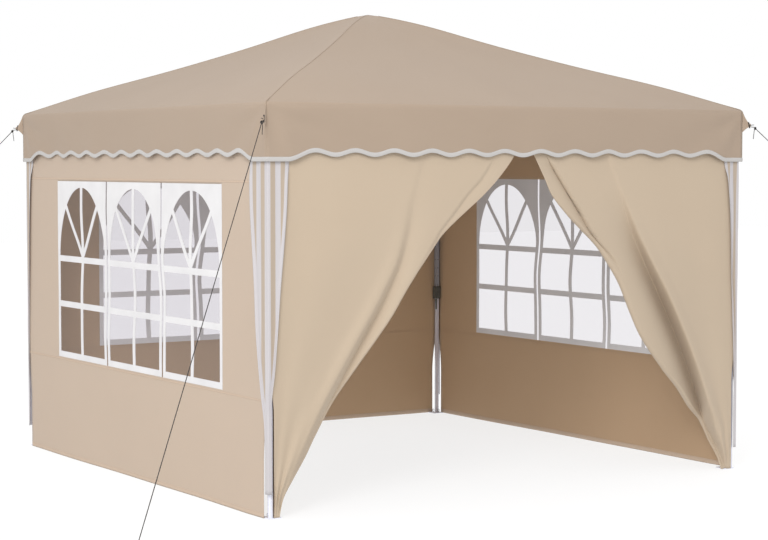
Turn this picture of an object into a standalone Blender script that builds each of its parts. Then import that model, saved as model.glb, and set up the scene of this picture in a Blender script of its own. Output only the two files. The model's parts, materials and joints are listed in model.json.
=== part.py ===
"""Pop-up party tent, 3 x 3 m, with three window walls and an open front.

Units are metres, +Z is up, and the origin is on the ground under the peak.
The open front faces -Y. Pieces of a corner are drawn once in the +X +Y
corner, and pieces of a side once on the -Y side, and both are then turned
about Z to their places.
"""

import math

import bmesh
import bpy
from mathutils import Matrix, Vector

# Roof
ROOF_HALF = 1.500  # half the side of the roof, measured over the valance
EAVE_Z = 1.986
PEAK_Z = 2.545
SHEET = 0.003  # thickness of the modelled fabric
GAP = 0.0003  # gap between pieces that touch

# Valance
VALANCE_LOW_Z = 1.707  # lower edge beside the corners
SCALLOP_CREST_Z = 1.750
SCALLOP_TROUGH_Z = 1.728
SCALLOPS = 12  # crests on one side
SCALLOP_LENGTH = 0.2235
POINTS_PER_SCALLOP = 6

# Legs
LEG_CENTRE = 1.4625
OUTER_TUBE = 0.025
OUTER_TUBE_BORE = 0.021
OUTER_TUBE_LOW_Z = 0.800
INNER_TUBE = 0.020
INNER_TUBE_BORE = 0.017
INNER_TUBE_TOP_Z = 1.250
FOOT_SIDE = 0.072
FOOT_THICK = 0.005
FOOT_OUTER = 1.4802
FOOT_HOLE = 0.009
FOOT_HOLE_INSET = 0.0145  # from the plate's two inner edges
LOCK_LOW_Z = 0.780
LOCK_HIGH_Z = 0.862
LOCK_REACH = 0.012  # how far the lock stands in from the tube

# Trusses
TRUSS_TOP_Z = 1.930
TRUSS_LOW_Z = 1.776  # hidden by the valance, as the top is
BAR_HEIGHT = 0.020
BAR_THICK = 0.009
BAR_SPACE = 0.002  # between the two crossing bars
BRACKET_HALF_HEIGHT = 0.018
BRACKET_ARM = 0.022
BRACKET_WALL = 0.010  # what a leg bracket adds behind its tube
MID_BRACKET_HALF = 0.022
MID_BRACKET_BACK = 0.006  # what a middle bracket adds behind its bars
HUB_HALF = 0.045
PIN_RADIUS = 0.004
PIN_SIDES = 8
MAST_TUBE = 0.022
MAST_CAP = 0.060
MAST_CAP_THICK = 0.012

# Walls
WALL_INNER = 1.4805  # distance of the wall's inner face from the middle
WALL_LOW_Z = 0.003
WALL_TOP_Z = 1.810
WINDOW_HALF = 1.020
WINDOW_LOW_Z = 0.578
WINDOW_TOP_Z = 1.596
FILM = 0.001

# Front wall: where the free edge of each flap is at each height
LEFT_EDGE = (
    (-0.020, WALL_TOP_Z),
    (-0.130, 1.630),
    (-0.320, 1.476),
    (-0.480, 1.350),
    (-0.620, 1.190),
    (-0.805, 0.930),
    (-1.000, 0.700),
    (-1.150, 0.520),
    (-1.300, 0.280),
    (-1.408, 0.090),
    (-1.424, WALL_LOW_Z),
)
RIGHT_EDGE = (
    (0.040, WALL_TOP_Z),
    (0.160, 1.610),
    (0.330, 1.420),
    (0.580, 1.200),
    (0.760, 0.900),
    (0.900, 0.680),
    (1.100, 0.470),
    (1.300, 0.250),
    (1.325, 0.161),
    (1.368, 0.068),
    (1.385, WALL_LOW_Z),
)
FOLD_WIDTH = 0.070  # the gathered band behind each free edge
FOLD_THICK = 0.022
FOLD_LIMIT = 1.405  # the band stops before the leg and its foot plate
FOLD_TOP_Z = 1.570  # and under the lowered truss

# Leg drapes: width of each wing at each height
DRAPE_INNER = 1.4838
DRAPE_THICK = 0.0025
DRAPE_WIDTHS = (
    (0.003, 0.032),
    (0.400, 0.030),
    (0.760, 0.048),
    (1.120, 0.074),
    (1.760, 0.140),
)

# Corner tabs, ropes and pegs, by distance along the diagonal
CORNER = ROOF_HALF * math.sqrt(2)
TAB_HIGH_Z = 1.982
TAB_LOW_Z = 1.867
TAB_TIP = CORNER + 0.046
TAB_TIP_Z = 1.906
TAB_TIP_HALF = 0.007
KNOT_Z = 1.889
KNOT = 0.018
KNOT_START = CORNER + 0.060
ROPE_RADIUS = 0.002
PEG_DISTANCE = 2.930 * math.sqrt(2)
PEG_RADIUS = 0.003
PEG_HEIGHT = 0.050
PEG_BEND = 0.009
PEG_TIP = 0.014
PEG_BEND_STEPS = 6
ROPE_LOW_Z = 0.030
ROPE_SIDES = 8  # of the rope and the peg

QUARTER = math.pi / 2
SIDES = (("front", 0), ("right", 1), ("back", 2), ("left", 3))
CORNERS = (("back_right", 0), ("back_left", 1), ("front_left", 2), ("front_right", 3))
ROOF_SLOPE = (PEAK_Z - EAVE_Z) / ROOF_HALF


def clear_scene():
    for thing in list(bpy.data.objects):
        bpy.data.objects.remove(thing, do_unlink=True)


def make_material(name, colour, roughness, metallic=0.0, alpha=1.0):
    material = bpy.data.materials.new(name)
    material.use_nodes = True
    shader = material.node_tree.nodes["Principled BSDF"]
    shader.inputs["Base Color"].default_value = (*colour, 1.0)
    shader.inputs["Roughness"].default_value = roughness
    shader.inputs["Metallic"].default_value = metallic
    shader.inputs["Alpha"].default_value = alpha
    return material


def make_body(name):
    """An empty that carries the pieces of one moving body."""
    empty = bpy.data.objects.new(name, None)
    bpy.context.scene.collection.objects.link(empty)
    return empty


def make_object(name, bm, material, body, turns=0):
    """Turns a bmesh into a named object, turned by quarter turns about Z."""
    bmesh.ops.recalc_face_normals(bm, faces=bm.faces)
    mesh = bpy.data.meshes.new(name)
    bm.to_mesh(mesh)
    bm.free()
    mesh.materials.append(material)
    thing = bpy.data.objects.new(name, mesh)
    bpy.context.scene.collection.objects.link(thing)
    place(thing, body, turns)
    return thing


def place(thing, body, turns):
    thing.parent = body
    thing.rotation_euler = (0, 0, turns * QUARTER)


def copies(thing, names, body):
    """More objects on the same mesh: names is a list of (name, turns)."""
    for name, turns in names:
        copy = bpy.data.objects.new(name, thing.data)
        bpy.context.scene.collection.objects.link(copy)
        place(copy, body, turns)


def add_box(bm, low, high):
    low = Vector(low)
    high = Vector(high)
    size = high - low
    matrix = Matrix.Translation((low + high) / 2) @ Matrix.Diagonal((*size, 1))
    bmesh.ops.create_cube(bm, size=1, matrix=matrix)


def add_plate(bm, outline, shift):
    """A closed plate: a flat outline of points pushed along shift."""
    face = bm.faces.new([bm.verts.new(point) for point in outline])
    made = bmesh.ops.extrude_face_region(bm, geom=[face])
    moved = [item for item in made["geom"] if isinstance(item, bmesh.types.BMVert)]
    bmesh.ops.translate(bm, verts=moved, vec=shift)


def add_rod(bm, start, end, radius, segments=12):
    start = Vector(start)
    axis = Vector(end) - start
    turn = axis.to_track_quat("Z", "Y").to_matrix().to_4x4()
    matrix = Matrix.Translation(start + axis / 2) @ turn
    bmesh.ops.create_cone(
        bm,
        cap_ends=True,
        segments=segments,
        radius1=radius,
        radius2=radius,
        depth=axis.length,
        matrix=matrix,
    )


def combine(thing, bm, operation="UNION"):
    """Joins the closed solids in bm to the object, or cuts them from it."""
    bmesh.ops.recalc_face_normals(bm, faces=bm.faces)
    mesh = bpy.data.meshes.new("tool")
    bm.to_mesh(mesh)
    bm.free()
    tool = bpy.data.objects.new("tool", mesh)
    bpy.context.scene.collection.objects.link(tool)
    tool.matrix_world = thing.matrix_basis
    modifier = thing.modifiers.new("join", "BOOLEAN")
    modifier.operation = operation
    modifier.object = tool
    modifier.use_self = True
    bpy.context.view_layer.update()
    graph = bpy.context.evaluated_depsgraph_get()
    result = bpy.data.meshes.new_from_object(thing.evaluated_get(graph))
    thing.modifiers.clear()
    thing.data = result
    bpy.data.objects.remove(tool, do_unlink=True)


def make_inner_leg(materials, body):
    """The tube that stands on the ground, on its square foot plate."""
    half = INNER_TUBE / 2
    bm = bmesh.new()
    add_box(
        bm,
        (LEG_CENTRE - half, LEG_CENTRE - half, FOOT_THICK / 2),
        (LEG_CENTRE + half, LEG_CENTRE + half, INNER_TUBE_TOP_Z),
    )
    leg = make_object("inner_leg_back_right", bm, materials["zinc"], body)
    plate = bmesh.new()
    inner = FOOT_OUTER - FOOT_SIDE
    add_box(plate, (inner, inner, 0), (FOOT_OUTER, FOOT_OUTER, FOOT_THICK))
    combine(leg, plate)
    cut = bmesh.new()
    bore = INNER_TUBE_BORE / 2
    add_box(
        cut,
        (LEG_CENTRE - bore, LEG_CENTRE - bore, FOOT_THICK * 2),
        (LEG_CENTRE + bore, LEG_CENTRE + bore, INNER_TUBE_TOP_Z + FOOT_THICK),
    )
    hole = inner + FOOT_HOLE_INSET
    add_rod(cut, (hole, hole, -FOOT_THICK), (hole, hole, FOOT_THICK * 2), FOOT_HOLE / 2)
    combine(leg, cut, "DIFFERENCE")
    copies(leg, [("inner_leg_" + name, turns) for name, turns in CORNERS[1:]], body)


def make_outer_leg(materials, body):
    """The upper tube with its top bracket, sliding bracket and leg lock."""
    half = OUTER_TUBE / 2
    top = EAVE_Z - SHEET - GAP + ROOF_SLOPE * (ROOF_HALF - LEG_CENTRE - half)
    bm = bmesh.new()
    add_box(
        bm,
        (LEG_CENTRE - half, LEG_CENTRE - half, OUTER_TUBE_LOW_Z),
        (LEG_CENTRE + half, LEG_CENTRE + half, top),
    )
    leg = make_object("outer_leg_back_right", bm, materials["zinc"], body)
    extras = bmesh.new()
    outer = LEG_CENTRE + half
    wide = OUTER_TUBE + BRACKET_WALL
    for middle in (TRUSS_TOP_Z, TRUSS_LOW_Z):
        low = middle - BRACKET_HALF_HEIGHT
        high = middle + BRACKET_HALF_HEIGHT
        arm = outer - OUTER_TUBE - BRACKET_ARM
        add_box(extras, (outer - wide, outer - wide, low), (outer, outer, high))
        add_box(extras, (arm, outer - OUTER_TUBE, low), (outer, outer, high))
        add_box(extras, (outer - OUTER_TUBE, arm, low), (outer, outer, high))
    lock_inner = outer - OUTER_TUBE - LOCK_REACH
    add_box(extras, (lock_inner, lock_inner, LOCK_LOW_Z), (outer, outer, LOCK_HIGH_Z))
    combine(leg, extras)
    cut = bmesh.new()
    bore = OUTER_TUBE_BORE / 2
    add_box(
        cut,
        (LEG_CENTRE - bore, LEG_CENTRE - bore, LOCK_LOW_Z - half),
        (LEG_CENTRE + bore, LEG_CENTRE + bore, TRUSS_TOP_Z - BRACKET_HALF_HEIGHT),
    )
    combine(leg, cut, "DIFFERENCE")
    copies(leg, [("outer_leg_" + name, turns) for name, turns in CORNERS[1:]], body)


def crossed_bars(along, across, start, end, outer_face):
    """A bmesh of two crossed bars from start to end along one axis.

    along and across are unit vectors, and outer_face is how far along
    across the pair begins.
    """
    bm = bmesh.new()
    up = Vector((0, 0, BAR_HEIGHT / 2))
    ends = (TRUSS_TOP_Z, TRUSS_LOW_Z)
    for index in (0, 1):
        face = outer_face - index * (BAR_THICK + BAR_SPACE)
        first = along * start + across * face + Vector((0, 0, ends[index]))
        last = along * end + across * face + Vector((0, 0, ends[1 - index]))
        outline = (first - up, last - up, last + up, first + up)
        add_plate(bm, outline, -across * BAR_THICK)
    return bm


def cross_pin(along, across, start, end, outer_face):
    """A bmesh of the pin that joins two crossed bars at their middle."""
    bm = bmesh.new()
    middle = along * (start + end) / 2 + Vector((0, 0, (TRUSS_TOP_Z + TRUSS_LOW_Z) / 2))
    reach = outer_face - BAR_THICK / 2
    near = middle + across * reach
    far = middle + across * (reach - BAR_THICK - BAR_SPACE)
    add_rod(bm, near, far, PIN_RADIUS, PIN_SIDES)
    return bm


def make_side_truss(materials, body):
    """Two scissor crosses between two legs, joined at the middle of a side."""
    along = Vector((1, 0, 0))
    across = Vector((0, -1, 0))
    face = LEG_CENTRE + OUTER_TUBE / 2 - GAP
    end = LEG_CENTRE - OUTER_TUBE / 2 - BRACKET_ARM - GAP
    pair = BAR_THICK * 2 + BAR_SPACE
    brackets = bmesh.new()
    for middle in (TRUSS_TOP_Z, TRUSS_LOW_Z):
        add_box(
            brackets,
            (-MID_BRACKET_HALF, -face, middle - BRACKET_HALF_HEIGHT),
            (MID_BRACKET_HALF, -face + pair + MID_BRACKET_BACK, middle + BRACKET_HALF_HEIGHT),
        )
    truss = make_object("side_truss_front", brackets, materials["zinc"], body)
    for start in (-end, end):
        combine(truss, crossed_bars(along, across, start, 0, face))
        combine(truss, cross_pin(along, across, start, 0, face))
    copies(truss, [("side_truss_" + name, turns) for name, turns in SIDES[1:]], body)


def make_roof_truss(materials, body):
    """One scissor cross from the middle of a side to the centre hub."""
    along = Vector((0, -1, 0))
    across = Vector((1, 0, 0))
    pair = BAR_THICK * 2 + BAR_SPACE
    start = LEG_CENTRE + OUTER_TUBE / 2 - GAP - pair - MID_BRACKET_BACK - GAP
    end = HUB_HALF + GAP
    bm = crossed_bars(along, across, start, end, pair / 2)
    bars = make_object("roof_truss_front", bm, materials["zinc"], body)
    combine(bars, cross_pin(along, across, start, end, pair / 2))
    copies(bars, [("roof_truss_" + name, turns) for name, turns in SIDES[1:]], body)


def make_centre_mast(materials, body):
    """The mast under the peak, with the two hubs that hold the roof trusses."""
    half = MAST_TUBE / 2
    cap = MAST_CAP / 2
    cap_top = PEAK_Z - SHEET - GAP - ROOF_SLOPE * cap
    bm = bmesh.new()
    add_box(bm, (-half, -half, TRUSS_LOW_Z), (half, half, cap_top - MAST_CAP_THICK / 2))
    mast = make_object("centre_mast", bm, materials["zinc"], body)
    extras = bmesh.new()
    for middle in (TRUSS_TOP_Z, TRUSS_LOW_Z):
        low = middle - BRACKET_HALF_HEIGHT
        high = middle + BRACKET_HALF_HEIGHT
        add_box(extras, (-HUB_HALF, -HUB_HALF, low), (HUB_HALF, HUB_HALF, high))
    add_box(extras, (-cap, -cap, cap_top - MAST_CAP_THICK), (cap, cap, cap_top))
    combine(mast, extras)


def make_roof(materials, body):
    """Four triangular panels that meet at the hips."""
    bm = bmesh.new()
    outline = (
        (-ROOF_HALF + GAP, -ROOF_HALF, EAVE_Z),
        (ROOF_HALF - GAP, -ROOF_HALF, EAVE_Z),
        (0, -GAP, PEAK_Z - ROOF_SLOPE * GAP),
    )
    add_plate(bm, outline, (0, 0, -SHEET))
    panel = make_object("roof_panel_front", bm, materials["canopy"], body)
    copies(panel, [("roof_panel_" + name, turns) for name, turns in SIDES[1:]], body)


def scalloped_edge():
    """The valance's lower edge, from -X to +X, as (x, z) points."""
    middle = (SCALLOP_CREST_Z + SCALLOP_TROUGH_Z) / 2
    swing = (SCALLOP_CREST_Z - SCALLOP_TROUGH_Z) / 2
    steps = SCALLOPS * POINTS_PER_SCALLOP
    half = SCALLOPS * SCALLOP_LENGTH / 2
    points = [(-ROOF_HALF, VALANCE_LOW_Z), (-half, VALANCE_LOW_Z)]
    for step in range(1, steps):
        wave = -math.cos(math.tau * step / POINTS_PER_SCALLOP)
        points.append((-half + 2 * half * step / steps, middle + swing * wave))
    points += [(half, VALANCE_LOW_Z), (ROOF_HALF - SHEET - GAP, VALANCE_LOW_Z)]
    return points


def make_valance(materials, body):
    """The strip that hangs from the eave, one a side, end against face."""
    top = EAVE_Z - SHEET - GAP
    outline = [(x, -ROOF_HALF, z) for x, z in scalloped_edge()]
    outline += [(ROOF_HALF - SHEET - GAP, -ROOF_HALF, top), (-ROOF_HALF, -ROOF_HALF, top)]
    bm = bmesh.new()
    add_plate(bm, outline, (0, SHEET, 0))
    strip = make_object("valance_front", bm, materials["canopy"], body)
    copies(strip, [("valance_" + name, turns) for name, turns in SIDES[1:]], body)


def on_diagonal(distance, z, side=0.0):
    """A point in the +X +Y diagonal plane, or beside it."""
    root = math.sqrt(2)
    return Vector(((distance - side) / root, (distance + side) / root, z))


def make_corner_tab(materials, body):
    """The fabric tab on the corner seam, with the knot of its guy rope."""
    start = CORNER + GAP * 1.5
    half = SHEET / 2
    outline = (
        on_diagonal(start, TAB_LOW_Z, -half),
        on_diagonal(TAB_TIP, TAB_TIP_Z - TAB_TIP_HALF, -half),
        on_diagonal(TAB_TIP, TAB_TIP_Z + TAB_TIP_HALF, -half),
        on_diagonal(start, TAB_HIGH_Z, -half),
    )
    shift = on_diagonal(0, 0, half) - on_diagonal(0, 0, -half)
    bm = bmesh.new()
    add_plate(bm, outline, shift)
    tab = make_object("corner_tab_back_right", bm, materials["canopy"], body)
    knot = bmesh.new()
    turn = Matrix.Rotation(math.radians(45), 4, "Z")
    add_box(
        knot,
        (TAB_TIP - KNOT / 3, -ROPE_RADIUS, KNOT_Z - ROPE_RADIUS),
        (KNOT_START + KNOT / 2, ROPE_RADIUS, TAB_TIP_Z),
    )
    add_box(
        knot,
        (KNOT_START, -KNOT / 2, KNOT_Z - KNOT / 2),
        (KNOT_START + KNOT, KNOT / 2, KNOT_Z + KNOT / 2),
    )
    bmesh.ops.transform(knot, matrix=turn, verts=knot.verts)
    combine(tab, knot)
    copies(tab, [("corner_tab_" + name, turns) for name, turns in CORNERS[1:]], body)


def make_guy_rope(materials, body):
    """A taut rope from the knot to the peg, with upright ends."""
    start = KNOT_START + KNOT + GAP
    end = PEG_DISTANCE - PEG_RADIUS - GAP
    run = Vector((end - start, 0, ROPE_LOW_Z - KNOT_Z))
    stretch = run.length / run.x  # keeps the rope round although its ends are upright
    upright = Matrix.Rotation(QUARTER, 4, "Y")
    sizes = Matrix.Diagonal((1, 1, stretch, 1))
    bm = bmesh.new()
    circle = bmesh.ops.create_circle(
        bm,
        cap_ends=True,
        segments=ROPE_SIDES,
        radius=ROPE_RADIUS,
        matrix=Matrix.Translation((start, 0, KNOT_Z)) @ sizes @ upright,
    )
    face = circle["verts"][0].link_faces[0]
    made = bmesh.ops.extrude_face_region(bm, geom=[face])
    moved = [item for item in made["geom"] if isinstance(item, bmesh.types.BMVert)]
    bmesh.ops.translate(bm, verts=moved, vec=run)
    bmesh.ops.rotate(bm, verts=bm.verts, matrix=Matrix.Rotation(math.radians(45), 3, "Z"))
    rope = make_object("guy_rope_back_right", bm, materials["rope"], body)
    copies(rope, [("guy_rope_" + name, turns) for name, turns in CORNERS[1:]], body)


def make_peg(materials, body):
    """The part of a ground peg that stands out of the ground: a bent hook."""
    bm = bmesh.new()
    circle = bmesh.ops.create_circle(
        bm,
        segments=ROPE_SIDES,
        radius=PEG_RADIUS,
        matrix=Matrix.Translation((PEG_DISTANCE, 0, 0)),
    )
    ring = list({edge for vert in circle["verts"] for edge in vert.link_edges})
    ring = raise_ring(bm, ring, PEG_HEIGHT)
    bend = bmesh.ops.spin(
        bm,
        geom=ring,
        cent=(PEG_DISTANCE + PEG_BEND, 0, PEG_HEIGHT),
        axis=(0, 1, 0),
        angle=math.pi,
        steps=PEG_BEND_STEPS,
    )
    ring = [item for item in bend["geom_last"] if isinstance(item, bmesh.types.BMEdge)]
    raise_ring(bm, ring, -PEG_TIP)
    bmesh.ops.holes_fill(bm, edges=bm.edges)
    bmesh.ops.rotate(bm, verts=bm.verts, matrix=Matrix.Rotation(math.radians(45), 3, "Z"))
    peg = make_object("peg_back_right", bm, materials["zinc"], body)
    copies(peg, [("peg_" + name, turns) for name, turns in CORNERS[1:]], body)


def raise_ring(bm, ring, height):
    """Draws a ring of edges straight up or down, and returns the new ring."""
    made = bmesh.ops.extrude_edge_only(bm, edges=ring)
    moved = [item for item in made["geom"] if isinstance(item, bmesh.types.BMVert)]
    bmesh.ops.translate(bm, verts=moved, vec=(0, 0, height))
    edges = [item for item in made["geom"] if isinstance(item, bmesh.types.BMEdge)]
    return [edge for edge in edges if all(vert in moved for vert in edge.verts)]


def make_wall(materials, body):
    """A side wall with its window opening, and the clear film in it."""
    face = -WALL_INNER - SHEET
    bm = bmesh.new()
    add_box(
        bm,
        (-WALL_INNER - SHEET, face, WALL_LOW_Z),
        (WALL_INNER - GAP, -WALL_INNER, WALL_TOP_Z),
    )
    wall = make_object("wall_right", bm, materials["wall"], body, 1)
    cut = bmesh.new()
    add_box(
        cut,
        (-WINDOW_HALF, face - SHEET, WINDOW_LOW_Z),
        (WINDOW_HALF, -WALL_INNER + SHEET, WINDOW_TOP_Z),
    )
    combine(wall, cut, "DIFFERENCE")
    copies(wall, [("wall_back", 2), ("wall_left", 3)], body)

    film = bmesh.new()
    middle = -WALL_INNER - SHEET / 2
    add_box(
        film,
        (-WINDOW_HALF + GAP, middle - FILM / 2, WINDOW_LOW_Z + GAP),
        (WINDOW_HALF - GAP, middle + FILM / 2, WINDOW_TOP_Z - GAP),
    )
    window = make_object("window_film_right", film, materials["film"], body, 1)
    copies(window, [("window_film_back", 2), ("window_film_left", 3)], body)


def make_door_flap(name, edge, outer_x, materials, body):
    """One half of the front wall, drawn aside from the middle to its foot."""
    side = 1 if outer_x > 0 else -1
    face = -WALL_INNER - SHEET
    outline = [(x, face, z) for x, z in edge]
    outline += [(outer_x, face, WALL_LOW_Z), (outer_x, face, WALL_TOP_Z)]
    bm = bmesh.new()
    add_plate(bm, outline, (0, SHEET, 0))
    flap = make_object(name, bm, materials["wall"], body)
    depth = face + SHEET / 2
    band = [(x, depth, z) for x, z in edge if abs(x) < FOLD_LIMIT and z < FOLD_TOP_Z]
    for x, y, z in list(reversed(band)):
        width = min(FOLD_WIDTH, FOLD_LIMIT - abs(x))
        band.append((x + side * width, y, z))
    fold = bmesh.new()
    add_plate(fold, band, (0, FOLD_THICK, 0))
    combine(flap, fold)


def make_leg_drape(materials, body):
    """The striped cover over a leg: two wings that meet at the corner."""
    outer = DRAPE_INNER + DRAPE_THICK
    bm = bmesh.new()
    rings = []
    for z, width in DRAPE_WIDTHS:
        section = (
            (outer, outer),
            (outer - width, outer),
            (outer - width, DRAPE_INNER),
            (DRAPE_INNER, DRAPE_INNER),
            (DRAPE_INNER, outer - width),
            (outer, outer - width),
        )
        face = bm.faces.new([bm.verts.new((x, y, z)) for x, y in section])
        rings.append(face)
    for lower, upper in zip(rings, rings[1:]):
        edges = list(lower.edges) + list(upper.edges)
        bmesh.ops.bridge_loops(bm, edges=edges)
    bmesh.ops.delete(bm, geom=rings[1:-1], context="FACES_ONLY")
    drape = make_object("leg_drape_back_right", bm, materials["drape"], body)
    copies(drape, [("leg_drape_" + name, turns) for name, turns in CORNERS[1:]], body)


def main():
    clear_scene()
    materials = {
        "zinc": make_material("zinc", (0.60, 0.62, 0.64), 0.35, 0.9),
        "canopy": make_material("canopy", (0.46, 0.37, 0.28), 0.85),
        "wall": make_material("wall", (0.55, 0.44, 0.33), 0.85),
        "drape": make_material("drape", (0.62, 0.54, 0.46), 0.85),
        "film": make_material("film", (0.85, 0.88, 0.90), 0.10, 0.0, 0.3),
        "rope": make_material("rope", (0.05, 0.05, 0.05), 0.9),
    }
    standing = make_body("standing")
    head = make_body("head")
    make_inner_leg(materials, standing)
    make_wall(materials, standing)
    left = -WALL_INNER - SHEET
    right = WALL_INNER - GAP
    make_door_flap("door_flap_left", LEFT_EDGE, left, materials, standing)
    make_door_flap("door_flap_right", RIGHT_EDGE, right, materials, standing)
    make_leg_drape(materials, standing)
    make_guy_rope(materials, standing)
    make_peg(materials, standing)
    make_outer_leg(materials, head)
    make_side_truss(materials, head)
    make_roof_truss(materials, head)
    make_centre_mast(materials, head)
    make_roof(materials, head)
    make_valance(materials, head)
    make_corner_tab(materials, head)
    bpy.context.view_layer.update()


main()
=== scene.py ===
# %% [markdown]
# # A pop-up party tent, piece by piece
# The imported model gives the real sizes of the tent: where the legs stand, how high
# the eave is and how wide the windows are. This lesson dresses that model. Each
# cell makes one piece or one finish, and says what it is on the real tent, how it
# could be made, and why it is made this way here. Lengths are metres, +Z is up,
# the origin is on the ground under the peak, and the open front faces -Y.

# %% Load the frame
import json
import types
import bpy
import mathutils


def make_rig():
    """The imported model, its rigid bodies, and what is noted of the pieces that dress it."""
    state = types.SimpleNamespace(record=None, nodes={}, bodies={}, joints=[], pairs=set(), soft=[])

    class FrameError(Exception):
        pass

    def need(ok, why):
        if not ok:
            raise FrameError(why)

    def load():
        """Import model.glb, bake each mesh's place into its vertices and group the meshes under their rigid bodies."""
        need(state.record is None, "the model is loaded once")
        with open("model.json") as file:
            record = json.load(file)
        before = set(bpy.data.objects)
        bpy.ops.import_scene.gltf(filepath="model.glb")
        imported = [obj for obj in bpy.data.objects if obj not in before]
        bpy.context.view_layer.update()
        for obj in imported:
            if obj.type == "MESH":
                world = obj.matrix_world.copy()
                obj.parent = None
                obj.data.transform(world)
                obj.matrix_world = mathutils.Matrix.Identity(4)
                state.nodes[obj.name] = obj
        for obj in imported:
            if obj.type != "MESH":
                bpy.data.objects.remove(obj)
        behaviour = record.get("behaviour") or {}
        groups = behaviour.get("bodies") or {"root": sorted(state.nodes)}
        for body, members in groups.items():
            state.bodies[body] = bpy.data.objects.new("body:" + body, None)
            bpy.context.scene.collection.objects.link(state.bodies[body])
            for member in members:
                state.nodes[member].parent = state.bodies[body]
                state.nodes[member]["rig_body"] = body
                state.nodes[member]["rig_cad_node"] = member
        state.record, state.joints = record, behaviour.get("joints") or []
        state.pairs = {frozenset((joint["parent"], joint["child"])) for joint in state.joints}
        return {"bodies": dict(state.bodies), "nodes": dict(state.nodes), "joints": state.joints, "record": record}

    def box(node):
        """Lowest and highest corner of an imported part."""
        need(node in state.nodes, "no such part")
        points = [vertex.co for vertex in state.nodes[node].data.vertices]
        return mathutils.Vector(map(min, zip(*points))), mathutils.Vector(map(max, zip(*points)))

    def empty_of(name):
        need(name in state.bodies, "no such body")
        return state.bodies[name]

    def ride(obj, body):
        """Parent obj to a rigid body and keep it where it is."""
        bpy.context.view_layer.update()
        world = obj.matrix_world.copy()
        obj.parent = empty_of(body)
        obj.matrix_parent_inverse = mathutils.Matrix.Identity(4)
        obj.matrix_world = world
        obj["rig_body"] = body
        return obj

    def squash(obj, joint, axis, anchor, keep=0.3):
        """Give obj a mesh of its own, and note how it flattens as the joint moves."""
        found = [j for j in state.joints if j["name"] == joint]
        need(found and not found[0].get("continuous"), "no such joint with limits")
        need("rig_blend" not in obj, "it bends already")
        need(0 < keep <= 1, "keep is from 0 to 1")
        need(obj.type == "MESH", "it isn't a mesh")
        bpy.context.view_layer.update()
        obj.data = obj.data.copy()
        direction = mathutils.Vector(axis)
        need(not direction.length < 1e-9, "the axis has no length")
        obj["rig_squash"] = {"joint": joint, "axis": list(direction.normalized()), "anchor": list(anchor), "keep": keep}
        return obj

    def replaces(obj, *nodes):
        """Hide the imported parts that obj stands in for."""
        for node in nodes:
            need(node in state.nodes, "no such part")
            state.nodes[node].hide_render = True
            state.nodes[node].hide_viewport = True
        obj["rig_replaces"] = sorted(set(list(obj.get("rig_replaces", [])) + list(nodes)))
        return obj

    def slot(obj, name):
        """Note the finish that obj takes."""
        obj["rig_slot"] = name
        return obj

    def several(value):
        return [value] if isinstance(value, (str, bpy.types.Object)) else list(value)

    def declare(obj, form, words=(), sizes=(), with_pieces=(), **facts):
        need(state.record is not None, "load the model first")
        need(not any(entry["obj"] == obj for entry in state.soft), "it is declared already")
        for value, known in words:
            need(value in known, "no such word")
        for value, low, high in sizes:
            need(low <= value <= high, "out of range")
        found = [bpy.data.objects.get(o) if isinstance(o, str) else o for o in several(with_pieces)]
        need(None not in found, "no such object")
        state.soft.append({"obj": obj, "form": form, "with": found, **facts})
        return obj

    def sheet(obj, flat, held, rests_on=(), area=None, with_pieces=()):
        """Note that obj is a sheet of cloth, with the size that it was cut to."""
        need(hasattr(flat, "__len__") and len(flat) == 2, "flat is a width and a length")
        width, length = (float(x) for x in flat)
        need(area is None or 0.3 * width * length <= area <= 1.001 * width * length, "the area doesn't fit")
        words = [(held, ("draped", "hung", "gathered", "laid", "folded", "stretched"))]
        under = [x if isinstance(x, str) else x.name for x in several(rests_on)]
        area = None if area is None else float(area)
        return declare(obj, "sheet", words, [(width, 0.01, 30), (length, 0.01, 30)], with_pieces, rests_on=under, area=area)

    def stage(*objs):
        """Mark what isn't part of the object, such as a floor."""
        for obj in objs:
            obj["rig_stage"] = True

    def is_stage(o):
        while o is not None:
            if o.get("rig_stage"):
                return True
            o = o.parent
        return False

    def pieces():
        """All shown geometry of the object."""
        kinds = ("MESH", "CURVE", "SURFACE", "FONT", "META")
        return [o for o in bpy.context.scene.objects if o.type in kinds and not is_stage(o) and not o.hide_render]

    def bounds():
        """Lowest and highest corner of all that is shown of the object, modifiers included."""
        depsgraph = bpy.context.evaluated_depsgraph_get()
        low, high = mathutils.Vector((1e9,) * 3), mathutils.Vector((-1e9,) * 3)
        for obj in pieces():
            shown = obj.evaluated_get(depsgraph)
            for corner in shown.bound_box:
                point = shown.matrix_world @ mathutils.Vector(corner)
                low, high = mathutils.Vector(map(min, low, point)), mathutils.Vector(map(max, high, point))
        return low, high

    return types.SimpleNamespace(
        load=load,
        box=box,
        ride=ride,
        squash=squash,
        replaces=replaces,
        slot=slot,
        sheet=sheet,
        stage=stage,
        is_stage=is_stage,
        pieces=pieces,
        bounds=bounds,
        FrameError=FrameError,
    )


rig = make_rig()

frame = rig.load()
cad_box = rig.bounds()

import json
import math

import bmesh
import bpy
from mathutils import Matrix, Vector, noise

print("CAD box", [round(value, 3) for corner in cad_box for value in corner])

# %% [markdown]
# ## Sizes
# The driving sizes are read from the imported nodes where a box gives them, so the
# looks always fit the structure. The rest are the cut of the cloth, such as the
# wave of the valance or the bars of a window, and stand here as named values.

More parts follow.
